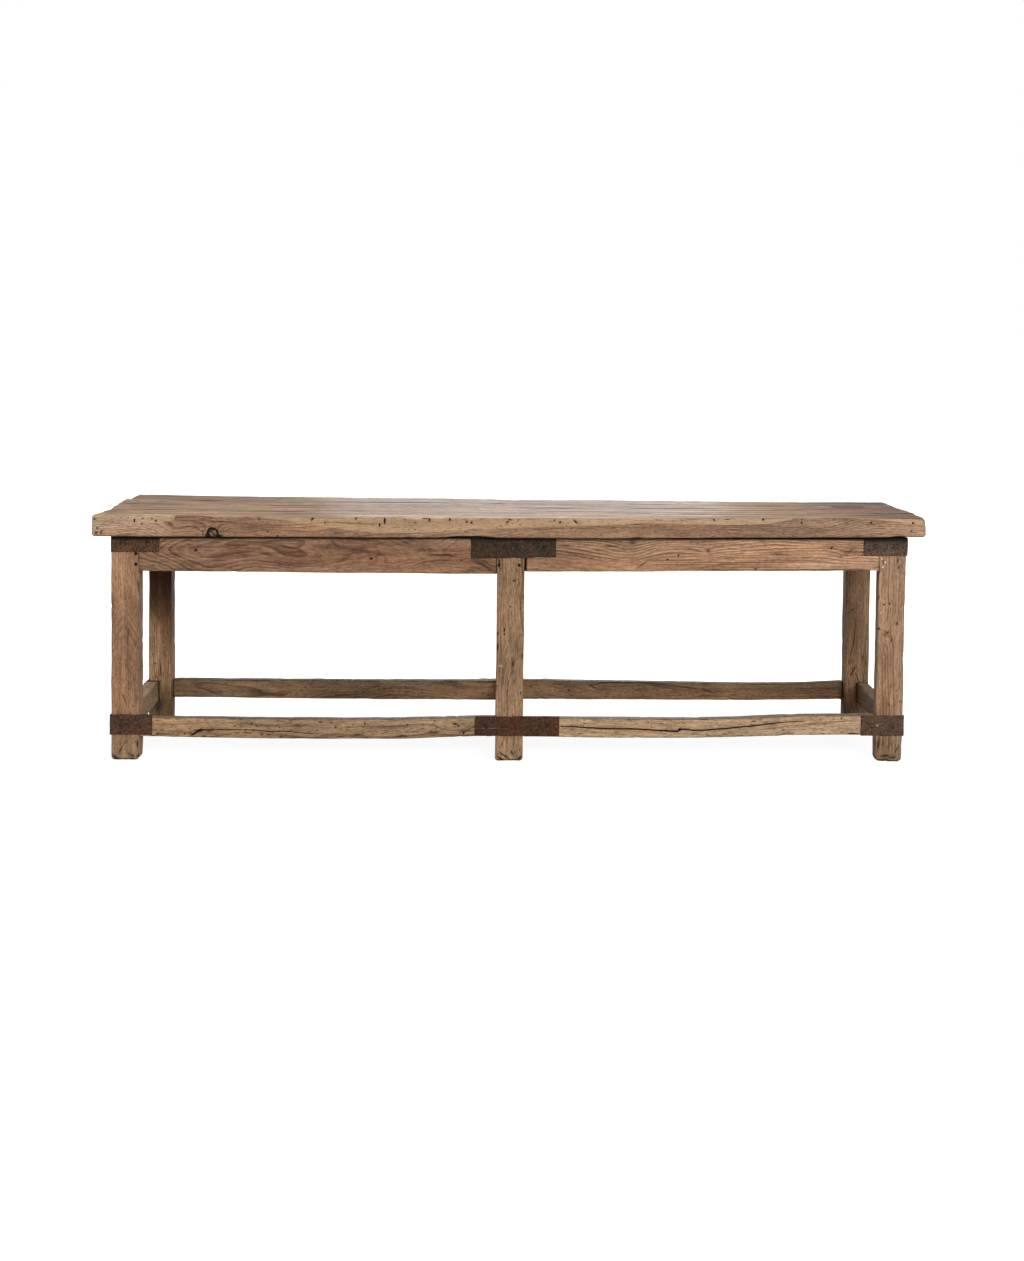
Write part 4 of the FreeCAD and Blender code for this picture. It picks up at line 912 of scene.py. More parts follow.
def open_edge_pocket(board):
    """Sinks the front edge's pocket: its front and upper skins trade places, so that they line the pocket."""
    low, high = EDGE_PATCH
    x, y, z = board.rest.T
    inside = (x > low[0]) & (x < high[0]) & (y <= high[1]) & (z >= low[2])
    share = ((board.rest - low) / (high - low))[inside]
    board.point[inside, 1] = low[1] + share[:, 2] * (high[1] - low[1])
    board.point[inside, 2] = low[2] + share[:, 1] * (high[2] - low[2])


def open_top_pocket(board, upward):
    """Sinks the pocket in the top to its floor, and pales the wood at both sides of it."""
    low, high = TOP_PATCH
    x, y, z = board.rest.T
    plan = board.rest[:, :2]
    inside = ((plan > low[:2]) & (plan < high[:2])).all(1) & (z == TOP_HIGH)
    board.point[inside, 2] = low[2]
    beside = np.abs(np.abs(x - (low[0] + high[0]) / 2) - BESIDE_PATCH)
    board.stain += BESIDE_STAIN * hump(beside, BESIDE_REACH) * (np.abs(y - BESIDE_Y) < BESIDE_DEEP) * upward


def make_planks():
    """Four planks with stepped ends, worn arrises and a top in wind; the front one has knot and sapwood."""
    for name, (short, tone, seed) in PLANKS.items():
        first = name == "front_plank"
        front, back = (corner[1] for corner in box(name))
        low, high = (-TOP_END, front, TOP_LOW), (TOP_END, back, TOP_HIGH)
        step, extra = plank_grid(name, short)
        board = Timber(low, high, 0, step, extra, move=laid(front, back, short, seed + 12))
        wear_plank(board, first, seed)
        upward = held(board.normal[:, 2])
        if first:
            figure_front_plank(board, seed)
        else:
            figure_inner_plank(board, upward, front, (front + back) / 2, seed)
        if back < TOP_BACK:
            board.stain += JOINT_DARK * hump(board.rest[:, 1] - back, JOINT_REACH)
        board.stain += DARK_STAIN * board.bell(DARK_PLACE, DARK_REACH) * upward
        for x, y, long in TOP_FLECKS:
            board.stain += FLECK_DARK * board.bell((x, y, TOP_HIGH), (long, FLECK_WIDE, FLECK_TALL)) * upward
        shade_plank(board, upward, tone, first, seed)
        if first:
            open_edge_pocket(board)
        if name == "inner_back_plank":
            open_top_pocket(board, upward)
        board.make(name, "plank_wood", PLANK_WOOD)


# Patches: box, seed, pith and tone. They sit a little inside their pockets.
PATCHES = {
    "front_edge_patch": (EDGE_PATCH, 61, (-0.40, 0.70), 1.15),
    "top_patch": (TOP_PATCH, 67, (0.30, 0.60), 0.62),
}
PATCH_GAP, PATCH_STEP = 0.0004, (0.003, 0.003, 0.003)
# Their arrises, hollows as depth and size, ring spacing and sway, weathering, and dirt as stain and reach.
PATCH_ROUND, PATCH_HOLLOWS, PATCH_RINGS, PATCH_SWAY = 0.0009, (0.0003, (0.03, 0.02, 0.02)), 0.005, 0.004
PATCH_AGE, PATCH_DIRT = 0.4, (0.5, 0.0025)


def make_patches():
    """The two let-in repairs, a shade smaller than their pockets."""
    for name, ((low, high), seed, pith, tone) in PATCHES.items():
        low, high = low + PATCH_GAP, high - (PATCH_GAP, PATCH_GAP, 0.0)
        patch = Timber(low, high, 0, PATCH_STEP, margin=PLAIN_EDGE, move=warp_top)
        patch.wear(PATCH_ROUND)
        patch.uneven(*PATCH_HOLLOWS, seed)
        patch.grow(pith, PATCH_RINGS, PATCH_SWAY, seed)
        patch.shade(tone, PATCH_AGE)
        patch.soil(*PATCH_DIRT, seed + 1)
        patch.make(name, "patch_wood", PATCH_WOOD)


# Where the rings of a leg are pushed about, as rows of knots.
LEG_KNOTS = {
    "front_middle_leg": ((0.017, 0.569, 0.014, 0.03, 0.03, 2.5), (0.005, 0.33, 0.020, 0.03, 0.07, 2.0)),
    "front_right_leg": ((1.172, 0.405, 0.018, 0.03, 0.035, 3.4), (1.206, 0.43, 0.012, 0.03, 0.03, 2.0)),
}
# Legs: tone, pith in plan, ring spacing, taper of the rings, and tone of the foot.
LEGS = {
    "front_left_leg": ((1.00, 1.00, 1.01), (-1.200, -0.366), 0.0038, 0.50, (1.00, 1.15, 1.18)),
    "front_middle_leg": ((0.90, 0.93, 0.91), (0.075, -0.290), 0.0062, 0.0, (1.18, 1.21, 1.16)),
    "front_right_leg": ((0.94, 0.97, 1.02), (1.120, -0.300), 0.0062, 0.0, (0.73, 0.79, 0.785)),
    "back_left_leg": ((0.76, 0.74, 0.68), (-1.260, 0.325), 0.0062, 0.0, (0.90, 0.95, 0.95)),
    "back_middle_leg": ((0.78, 0.78, 0.78), (-0.063, 0.325), 0.0062, 0.0, (0.90, 0.95, 0.95)),
    "back_right_leg": ((0.76, 0.79, 0.80), (1.134, 0.325), 0.0062, 0.0, (0.90, 0.95, 0.95)),
}
# How light a leg or rail is along its length: height or x, and tone.
EVEN = ((0.0, 1.0),)
LEG_TONES = {
    "front_left_leg": ((0.12, 1.00), (0.16, 1.18), (0.24, 1.05), (0.36, 1.02), (0.49, 1.05), (0.55, 1.15)),
    "front_middle_leg": (
        (0.12, 1.00), (0.16, 1.20), (0.22, 1.15), (0.28, 0.93), (0.35, 0.90), (0.47, 1.03), (0.60, 0.88),
    ),
    "front_right_leg": (
        (0.17, 1.00), (0.24, 1.07), (0.30, 0.91), (0.36, 0.84), (0.42, 1.04), (0.49, 1.04), (0.56, 0.95),
    ),
    "back_left_leg": ((0.12, 1.10), (0.19, 1.10), (0.25, 0.98), (0.32, 0.89), (0.39, 0.92), (0.46, 0.80)),
    "back_right_leg": (
        (0.05, 1.10), (0.12, 1.32), (0.19, 1.13), (0.25, 1.02), (0.32, 0.92), (0.39, 0.89), (0.46, 1.02),
    ),
}
# How strongly the rings show: height and strength up the front left leg, and strength in the others.
LEFT_FIGURE, LEG_FIGURE = ((0.10, 0.5), (0.22, 0.9), (0.30, 2.1), (0.47, 2.1), (0.54, 0.6)), 0.9
# Painted shade on the back legs by height: dark under the end stretcher, lit below the apron's shadow and
# darker upwards into it. Height and tone, for the left one and the inner half of the right one.
LEFT_PAINTED_SHADE = (
    (0.05, 0.58), (0.105, 0.64), (0.14, 1.05), (0.20, 1.33), (0.28, 1.12), (0.345, 0.78), (0.40, 0.56),
    (0.53, 0.44),
)
RIGHT_PAINTED_SHADE = (
    (0.05, 0.30), (0.105, 0.40), (0.14, 0.95), (0.18, 1.04), (0.27, 0.74), (0.36, 0.61), (0.60, 0.60),
)
# How the painted shade warms as it darkens, and how far it is lifted on the lit side above a height.
SHADE_WARMTH, SHADE_LAG, SHADE_LAG_FROM = (1.0, 1.2, 1.4), 0.035, 0.3
# Where the back legs are paler, partly paler wood and partly painted light on their lit sides, by height:
# left of this x on the left one, right on the right.
LEFT_PALE_AND_LIT = (
    (0.150, -1.211), (0.202, -1.206), (0.289, -1.198), (0.344, -1.198), (0.375, -1.217), (0.396, -1.232),
    (0.450, -1.270),
)
RIGHT_PALE_AND_LIT = ((0.209, 1.2323), (0.330, 1.2222), (0.434, 1.2191), (0.537, 1.2143))
PALE_FADE = 0.006
# What is added to the tone where the legs are paler and painted lit, left and right, and low on the left leg
# below a height.
LEFT_PALE_AND_LIT_GAIN, RIGHT_PALE_AND_LIT_GAIN = (0.28, 0.38, 0.46), (0.28, 0.35, 0.36)
LOW_GREY, LOW_FROM = (0.0, 0.18, 0.28), (0.17, -0.04)
# Cracks in the faces of the legs: height, x and half width.
LEG_CRACKS = {
    "front_left_leg": (((0.165, -1.195, 0.0), (0.190, -1.203, 0.0012), (0.215, -1.214, 0.0)),),
    "back_right_leg": (
        (
            (0.235, 1.172, 0.0), (0.240, 1.1734, 0.0006), (0.278, 1.185, 0.0012), (0.347, 1.191, 0.0010),
            (0.372, 1.193, 0.0),
        ),
        ((0.168, 1.175, 0.0), (0.172, 1.177, 0.0012), (0.198, 1.1894, 0.0016), (0.203, 1.1905, 0.0)),
        ((0.148, 1.205, 0.0), (0.152, 1.2035, 0.0014), (0.177, 1.1949, 0.0014), (0.181, 1.194, 0.0)),
    ),
}
# Legs that are narrower than their solids: the inner faces of the back ones, the left one's width, how
# far the front right one is set in, and how far its inner side is hewn away towards the back.
NARROW_LEG_INNER, NARROW_LEG, SLIM_LEG_INNER, SET_IN, HEWN_SIDE = -1.1565, 0.0775, 1.1585, 0.002, 0.006
# Peg holes: heights, place from the edge, radius, depth, stain, steepness, and grid lines across them.
PEG_HEIGHTS, PEG_FROM_EDGE, PEG_RADIUS, PEG_REACH = (0.617, 0.651), 0.011, 0.0048, 0.012
HOLE_DEPTH, HOLE_STAIN, HOLE_STEEP, HOLE_MARGIN = 0.0075, 1.6, 3.0, 0.006
HOLE_LINES = (-1.0, -0.8, -0.4, 0.0, 0.4, 0.8, 1.0)
# Grid steps, how high feet are rounded and worn, arrises and what the feet add to them, and hollows.
LEG_STEP, PLAIN_LEG_STEP = (0.0020, 0.0042, 0.0024), (0.0045, 0.0045, 0.0045)
FOOT, FOOT_TOP, FOOT_FADE = 0.055, 0.085, 0.02
LEG_ROUND, LEG_ROUND_WAVE, LEG_WAVE_LENGTH, LEAST_FRAME_ROUND = 0.0024, 0.0009, 0.16, 0.001
FOOT_ROUND, FOOT_POWER, RIGHT_FOOT_ROUND, INNER_FOOT_ROUND = 0.0085, 1.5, 0.004, 0.006
LEG_HOLLOWS = ((0.0009, (0.09, 0.09, 0.30)), (0.0004, (0.02, 0.02, 0.07)))
LEG_NICKS, LEG_NICK, LEG_CRACK_DEPTH = 14, 0.0024, 0.002
# How far the pith of a leg wanders, less where rings taper; weathering, more at the foot, where rings fade.
LEG_SWAY, TAPERED_SWAY, LEG_CHURN = 0.008, 0.003, 0.35
LEG_AGE, FOOT_AGE, FOOT_FADES = 0.55, 0.45, 0.9
LEG_DIRT, FRAME_DIRT_REACH = 0.40, 0.0032
# Painted shade round the end stretchers' joints as strength, offset and reach, and at the soles as strength
# and reach; dirt in patches on the feet as stain and size.
JOINT_SHADE, JOINT_OFF, JOINT_SHADE_REACH, SOLE_SHADE, SOLE_SHADE_REACH = 0.9, 0.001, 0.0040, 0.8, 0.004
FOOT_DIRT, FOOT_PATCHES = 0.45, (0.02, 0.02, 0.03)


def peg_places(row, side):
    """Where pegs stand in a leg: points on the faces that they enter."""
    columns = {
        "left": (FRAME_LEFT, INNER_LEFT),
        "middle": (-LEG / 2, LEG / 2),
        "right": (INNER_RIGHT, FRAME_RIGHT),
    }
    near, far = columns[side][0] + PEG_FROM_EDGE, columns[side][1] - PEG_FROM_EDGE
    y_face = FRAME_FRONT if row == "front" else FRAME_BACK
    entered = {"left": (far,), "middle": (near, far), "right": (near,)}[side]
    places = [(x, y_face, z) for x in entered for z in PEG_HEIGHTS]
    if side != "middle":
        y = INNER_FRONT - PEG_FROM_EDGE if row == "front" else INNER_BACK + PEG_FROM_EDGE
        places += [(FRAME_LEFT if side == "left" else FRAME_RIGHT, y, z) for z in PEG_HEIGHTS]
    return np.array(places)


def leg_box(name):
    """The box of a leg: its CAD node's, narrowed where the leg in the photograph is."""
    low, high = box(name)
    if name == "front_right_leg":
        low[0] += SET_IN
    if name == "back_right_leg":
        low[0] = SLIM_LEG_INNER
    if name == "back_left_leg":
        low[0], high[0] = NARROW_LEG_INNER - NARROW_LEG, NARROW_LEG_INNER
    return low, high


def hole_lines(pegs, low, high):
    """Extra grid lines across the peg holes, for each axis, where they lie well inside the leg."""
    stand = 2 * pegs - leaned(pegs)
    within = (stand > low + HOLE_MARGIN) & (stand < high - HOLE_MARGIN)
    around = PEG_RADIUS * np.array(HOLE_LINES)[:, None]
    return [np.unique(stand[within[:, axis], axis] + around) for axis in range(3)]


def wear_leg(leg, name, pegs, seed):
    """Rounds a leg's arrises, most at the foot, hollows, nicks and hews it, and sinks the peg holes."""
    x, y, z = leg.rest.T
    foot = held(1 - z / FOOT)
    right = name == "front_right_leg"
    radius = LEG_ROUND + LEG_ROUND_WAVE * waves(leg.rest[:, 2:], LEG_WAVE_LENGTH, seed + 5)
    radius += FOOT_ROUND * foot ** FOOT_POWER
    if right:
        radius += RIGHT_FOOT_ROUND * foot + INNER_FOOT_ROUND * foot * (x < leg.low[0] + LEG / 2)
    leg.wear(np.maximum(radius, LEAST_FRAME_ROUND))
    for number, (depth, size) in enumerate(LEG_HOLLOWS):
        leg.uneven(depth, size, seed + 6 + number)
    leg.nick(LEG_NICKS, LEG_NICK, seed + 8)
    if right:
        leg.point[:, 0] += HEWN_SIDE * ((y - leg.low[1]) / LEG) * (1 - (x - leg.low[0]) / LEG)
    for place in pegs:
        facing = place[1] in (FRAME_FRONT, FRAME_BACK)
        reach = (PEG_RADIUS, PEG_REACH, PEG_RADIUS) if facing else (PEG_REACH, PEG_RADIUS, PEG_RADIUS)
        if not (right and facing):
            leg.press(place, reach, HOLE_DEPTH, HOLE_STAIN, HOLE_STEEP)


def shade_leg(leg, name, tone, foot_tone, worn, figure):
    """Tones of a leg: by height, another at the foot, and on back legs painted shade and a paler, partly lit
    side.
    """
    x, _, z = leg.rest.T
    colour = np.array(tone) * (1 + ramp(z, FOOT_TOP, -FOOT_FADE)[:, None] * (np.array(foot_tone) - 1))
    colour *= read_off(LEG_TONES.get(name, EVEN), z)[:, None]
    if name == "back_left_leg":
        # Paler side, partly wood and partly painted light; painted shade by height, lifted on that side.
        pale = held(0.5 - (leg.seat[:, 0] - read_off(LEFT_PALE_AND_LIT, z)) / PALE_FADE)
        painted_shade = read_off(LEFT_PAINTED_SHADE, z - SHADE_LAG * pale * (z > SHADE_LAG_FROM))
        colour *= (1 + pale[:, None] * np.array(LEFT_PALE_AND_LIT_GAIN)) * painted_shade[:, None] ** np.array(SHADE_WARMTH)
        colour *= 1 + ramp(z, *LOW_FROM)[:, None] * np.array(LOW_GREY)
    if name == "back_right_leg":
        # Paler right side, partly wood and partly painted light; painted shade by height on the inner half.
        pale = held(0.5 + (leg.seat[:, 0] - read_off(RIGHT_PALE_AND_LIT, z)) / PALE_FADE)
        inner = np.clip(0.8 - (x - leg.low[0]) / LEG, 0.1, 1)
        colour *= 1 + pale[:, None] * np.array(RIGHT_PALE_AND_LIT_GAIN)
        colour *= (1 + inner * (read_off(RIGHT_PAINTED_SHADE, z) - 1))[:, None]
    leg.shade(colour, LEG_AGE + FOOT_AGE * worn, figure * (1 - FOOT_FADES * worn))


def make_legs():
    """Six square legs that lean a little, with rounded feet, peg holes, and the marks that each one shows."""
    for number, (name, (tone, pith, spacing, taper, foot_tone)) in enumerate(LEGS.items()):
        seed = 101 + 13 * number
        row, side = name.split("_")[:2]
        low, high = leg_box(name)
        pegs = peg_places(row, side)
        extra = ((), (), ()) if row == "front" else hole_lines(pegs, low, high)
        step, margin = (LEG_STEP, FINE_EDGE) if name in MARKS else (PLAIN_LEG_STEP, PLAIN_EDGE)
        leg = Timber(low, high, 2, step, extra, margin, leaned)
        wear_leg(leg, name, pegs, seed)
        leg.mark(MARKS.get(name, ()))
        knotted = knots(LEG_KNOTS.get(name, ()), FRAME_FRONT)
        leg.grow(pith, spacing, TAPERED_SWAY if taper else LEG_SWAY, seed, knotted, LEG_CHURN, taper)
        for channel, path in enumerate(LEG_CRACKS.get(name, ())):
            leg.split_along(channel, FORWARD, path, LEG_CRACK_DEPTH)
        # Painted shadow round the end stretcher's joint on a back leg's front.
        if row == "back" and side != "middle":
            end_low, end_high = box(f"{side}_end_stretcher")
            beyond = np.abs(leg.rest - (end_low + end_high) / 2) - (end_high - end_low) / 2
            beyond = np.maximum(beyond[:, 0], beyond[:, 2]) - JOINT_OFF
            leg.stain += JOINT_SHADE * hump(beyond, JOINT_SHADE_REACH) * (leg.normal[:, 1] < -0.5)
        z = leg.rest[:, 2]
        worn = held(1 - z / FOOT_TOP)
        leg.stain += FOOT_DIRT * worn * held(waves(leg.rest, FOOT_PATCHES, seed + 3) + 0.1)
        # Painted shade at the sole, where the foot meets the floor.
        leg.stain += SOLE_SHADE * hump(z, SOLE_SHADE_REACH)
        leg.soil(LEG_DIRT, FRAME_DIRT_REACH, seed + 9)
        # Painted shade of the crevice below the top.
        leg.shadow_line()
        shade_leg(leg, name, tone, foot_tone, worn, read_off(LEFT_FIGURE, z) if taper else LEG_FIGURE)
        leg.point[:, 2] = np.maximum(leg.point[:, 2], 0.0)
        leg.make(name, "frame_wood", FRAME_WOOD)


# Rails: tone, seed, and rows of x or y with the rise of the lower and upper edges there.
LEVEL = ((0.0, 0.0, 0.0),)
RAILS = {
    "front_left_apron": (
        (0.80, 0.78, 0.82), 211,
        ((-1.15, 0.0015, 0), (-0.8, -0.001, 0), (-0.5, -0.003, 0), (-0.04, -0.005, 0)),
    ),
    "front_right_apron": (
        (1.21, 1.23, 1.27), 223, ((0.05, 0.0015, 0), (0.6, 0.004, 0), (1.15, 0.009, 0)),
    ),
    "back_left_apron": ((0.86, 0.86, 0.86), 227, LEVEL),
    "back_right_apron": ((0.94, 0.93, 0.92), 233, LEVEL),
    "left_end_apron": ((0.88, 0.88, 0.87), 239, LEVEL),
    "right_end_apron": ((0.94, 0.94, 0.93), 241, LEVEL),
    "middle_cross_rail": ((0.85, 0.85, 0.85), 251, LEVEL),
    "front_left_stretcher": (
        (1.08, 1.20, 1.19), 257,
        (
            (-1.15, -0.007, -0.008), (-0.967, -0.010, -0.0105), (-0.779, -0.012, -0.012),
            (-0.522, -0.0133, -0.0132), (-0.334, -0.0125, -0.0125), (-0.215, -0.0078, -0.009),
            (-0.10, -0.003, -0.006),
        ),
    ),
    "front_right_stretcher": (
        (1.17, 1.37, 1.47), 263,
        (
            (0.10, -0.005, -0.0075), (0.35, -0.007, -0.010), (0.538, -0.0072, -0.010),
            (0.726, -0.0035, -0.0065), (0.914, 0.0033, 0.0020), (1.15, 0.0054, 0.0042),
        ),
    ),
    "back_left_stretcher": (
        (0.76, 0.85, 0.84), 269,
        ((-1.15, 0.0027, 0.002), (-0.72, -0.0014, 0.0), (-0.377, -0.004, -0.001), (-0.05, -0.005, 0.0)),
    ),
    "back_right_stretcher": (
        (0.66, 0.68, 0.63), 271,
        (
            (0.06, -0.001, 0.002), (0.315, -0.002, -0.001), (0.592, -0.003, -0.0055),
            (0.835, -0.0025, -0.008), (0.96, -0.001, -0.0075), (1.15, 0.002, 0.0),
        ),
    ),
    "left_end_stretcher": (
        (0.95, 1.11, 1.145), 277, ((-0.294, -0.024, 0.0), (0.050, -0.015, 0.0), (0.299, -0.003, 0.002)),
    ),
    "right_end_stretcher": ((0.62, 0.62, 0.55), 281, ((-0.294, -0.006, 0.004), (0.299, 0.002, 0.004))),
    "middle_cross_stretcher": ((0.90, 0.93, 0.90), 283, LEVEL),
}
# Where the pith of a rail lies behind and above its middle, the ring spacing and how far the pith wanders.
PLAIN_PITH, PLAIN_PITH_BACK = (0.10, -0.075, 0.0075, 0.010), (-0.10, -0.075, 0.0075, 0.010)
RAIL_PITHS = {
    "front_left_apron": (0.055, 0.020, 0.0062, 0.026), "front_right_apron": (0.100, -0.100, 0.0064, 0.007),
    "back_left_stretcher": (0.015, 0.010, 0.0080, 0.020), "back_right_stretcher": (0.020, 0.0, 0.0050, 0.008),
}
# How much a rail's rings wander, and the strengths of its rings and dark patches.
PLAIN_CHURN, CHURN = 0.5, {"front_left_apron": 0.9, "back_right_stretcher": 0.30}
PLAIN_FIGURE = (0.8, 0.12)
FIGURES = {
    "front_left_apron": (0.85, 0.60), "front_right_apron": (1.6, 0.10),
    "back_left_stretcher": (1.0, 0.20), "back_right_stretcher": (0.7, 0.15),
}
RAIL_TONES = {
    "front_right_apron": ((0.15, 0.75), (0.32, 0.95), (0.56, 0.90), (0.80, 1.13), (1.03, 0.96)),
    "front_left_stretcher": (
        (-1.04, 1.20), (-0.92, 0.96), (-0.79, 0.98), (-0.67, 0.78), (-0.43, 1.02), (-0.30, 1.00),
        (-0.18, 0.84),
    ),
    "front_right_stretcher": (
        (0.23, 1.15), (0.34, 1.03), (0.45, 1.08), (0.56, 0.96), (0.79, 0.91), (1.01, 1.05),
    ),
    "back_left_stretcher": (
        (-1.05, 0.83), (-0.90, 1.07), (-0.75, 1.01), (-0.60, 0.68), (-0.45, 0.76), (-0.30, 1.06),
        (-0.15, 1.25),
    ),
    "back_right_stretcher": (
        (0.20, 0.98), (0.44, 0.74), (0.59, 1.03), (0.74, 1.18), (0.89, 1.00), (1.04, 0.84),
    ),
}
# Where the rings of a rail are pushed about, as rows of knots.
RAIL_KNOTS = {
    "front_left_apron": (
        (-0.43, 0.637, 0.05, 0.03, 0.016, 2.0), (-0.86, 0.690, 0.10, 0.05, 0.022, -1.6),
        (-0.62, 0.672, 0.12, 0.05, 0.020, 1.6), (-0.24, 0.640, 0.13, 0.05, 0.03, -1.6),
        (-0.10, 0.612, 0.06, 0.05, 0.03, 1.6),
    ),
    "front_right_apron": (
        (0.384, 0.650, 0.060, 0.06, 0.20, 1.4), (0.26, 0.650, 0.15, 0.06, 0.20, 1.7),
        (0.621, 0.666, 0.030, 0.04, 0.014, 0.8), (1.05, 0.655, 0.035, 0.04, 0.020, 0.8),
    ),
    "front_left_stretcher": (
        (-0.97, 0.084, 0.05, 0.03, 0.014, 2.4), (-0.55, 0.113, 0.06, 0.03, 0.012, 2.0),
        (-0.17, 0.107, 0.05, 0.03, 0.014, 2.6),
    ),
    "front_right_stretcher": (
        (0.55, 0.100, 0.05, 0.03, 0.014, 2.4), (0.80, 0.124, 0.09, 0.03, 0.012, 2.0),
    ),
}
# Cracks in the fronts of the stretchers: x, height and half width.
RAIL_CRACKS = {
    "front_left_stretcher": (
        (-0.995, 0.0930, 0.0), (-0.964, 0.0961, 0.0016), (-0.889, 0.0975, 0.0010), (-0.798, 0.0952, 0.0011),
        (-0.742, 0.0906, 0.0012), (-0.695, 0.0920, 0.0011), (-0.639, 0.0860, 0.0010), (-0.589, 0.0861, 0.0),
    ),
    "front_right_stretcher": (
        (0.1635, 0.1090, 0.0014), (0.2007, 0.1090, 0.0018), (0.304, 0.1035, 0.0018), (0.390, 0.1027, 0.0020),
        (0.4877, 0.0970, 0.0021), (0.531, 0.0943, 0.0024), (0.5377, 0.0999, 0.0024), (0.5465, 0.1021, 0.0022),
        (0.578, 0.0991, 0.0020), (0.613, 0.0992, 0.0020), (0.6795, 0.1044, 0.0020), (0.7695, 0.1134, 0.0018),
        (0.8518, 0.1233, 0.0015), (0.902, 0.1275, 0.0010), (0.946, 0.1291, 0.0),
    ),
}
CRACK_DEPTH = 0.005
# The right apron's open joint with the middle leg: where the apron begins, and how deep the gap goes.
OPEN_JOINT, OPEN_DEPTH = 0.047, 0.014
# Grid steps along a rail, through it and in height; arrises and their waves; hollows across and along it.
RAIL_STEP, PLAIN_RAIL_STEP = (0.0030, 0.0040, 0.0024), (0.0070, 0.0062, 0.0052)
RAIL_ROUND, STRETCHER_ROUND, RAIL_ROUND_WAVES = 0.0020, 0.0016, ((0.0009, 0.17), (0.0004, 0.03))
HOLLOW_ACROSS, HOLLOW_ALONG, SMALL_SHARE, SMALL_HOLLOW, RAIL_NICK = 0.08, 0.30, 0.25, 0.0004, 0.0030
# How worn aprons and stretchers are: depth of hollows, number of nicks, weathering, and dirt as stain.
APRON_HOLLOW, APRON_NICKS, APRON_AGE, APRON_DIRT = 0.0006, 8, 0.3, 0.30
STRETCHER_HOLLOW, STRETCHER_NICKS, STRETCHER_AGE, STRETCHER_DIRT = 0.0009, 18, 0.9, 0.45
# How much darker the upper sides of stretchers are: those along the table, and those across, which are paler.
DUST_ALONG, DUST_ACROSS = (0.30, 0.30, 0.30), (-0.80, -1.00, -1.25)
# Painted shade where a rail meets a leg: strength, what less of it tight joints have and from which x on,
# and its reach along and across the table.
MEETING_SHADE, TIGHT_LESS, TIGHT_FROM, MEETING_SHADE_REACH, MEETING_SHADE_REACH_ACROSS = 0.9, 0.6, 0.6, 0.004, 0.020
# Battens with their seeds: grid steps, arrises, hollows as depth, size and seed, the pith from their side
# and its height, ring spacing and sway, tone and weathering.
BATTENS, BATTEN_STEP = {"left_batten": 307, "right_batten": 311}, (0.008, 0.008, 0.008)
BATTEN_ROUND, BATTEN_HOLLOWS = 0.0018, (0.0005, (0.08, 0.3, 0.08), 301)
BATTEN_PITH, BATTEN_PITH_HEIGHT, BATTEN_RINGS, BATTEN_SWAY = -0.05, 0.60, 0.006, 0.01
BATTEN_TONE, BATTEN_AGE = (0.80, 0.80, 0.78), 0.4


def shown_box(name):
    """The part of a rail that shows: its CAD node's box, ended at the faces of the legs it runs between."""
    low, high = box(name)
    along = int(np.argmax(high - low))
    if along == 1:
        low[1], high[1] = INNER_FRONT, INNER_BACK
    elif "left" in name:
        low[0], high[0] = NARROW_LEG_INNER if "back" in name else INNER_LEFT, -LEG / 2
    else:
        low[0], high[0] = LEG / 2, SLIM_LEG_INNER if "back" in name else INNER_RIGHT
    if name == "front_right_apron":
        low[0] = OPEN_JOINT
    if name.startswith("front_right"):
        high[0] = INNER_RIGHT + SET_IN
    return low, high, along


def wear_rail(rail, stretcher, seed):
    """Rounds a rail's arrises by a wandering radius, and hollows and nicks it, a stretcher more."""
    along = rail.order[0]
    line = rail.rest[:, along][:, None]
    radius = RAIL_ROUND
    for number, (depth, length) in enumerate(RAIL_ROUND_WAVES):
        radius = radius + depth * waves(line, length, seed + 5 + number)
    rail.wear(np.maximum(radius + STRETCHER_ROUND * stretcher, LEAST_FRAME_ROUND))
    size = np.full(3, HOLLOW_ACROSS)
    size[along] = HOLLOW_ALONG
    rail.uneven(STRETCHER_HOLLOW if stretcher else APRON_HOLLOW, size, seed + 7)
    rail.uneven(SMALL_HOLLOW, SMALL_SHARE * size, seed + 8)
    rail.nick(STRETCHER_NICKS if stretcher else APRON_NICKS, RAIL_NICK, seed + 9)


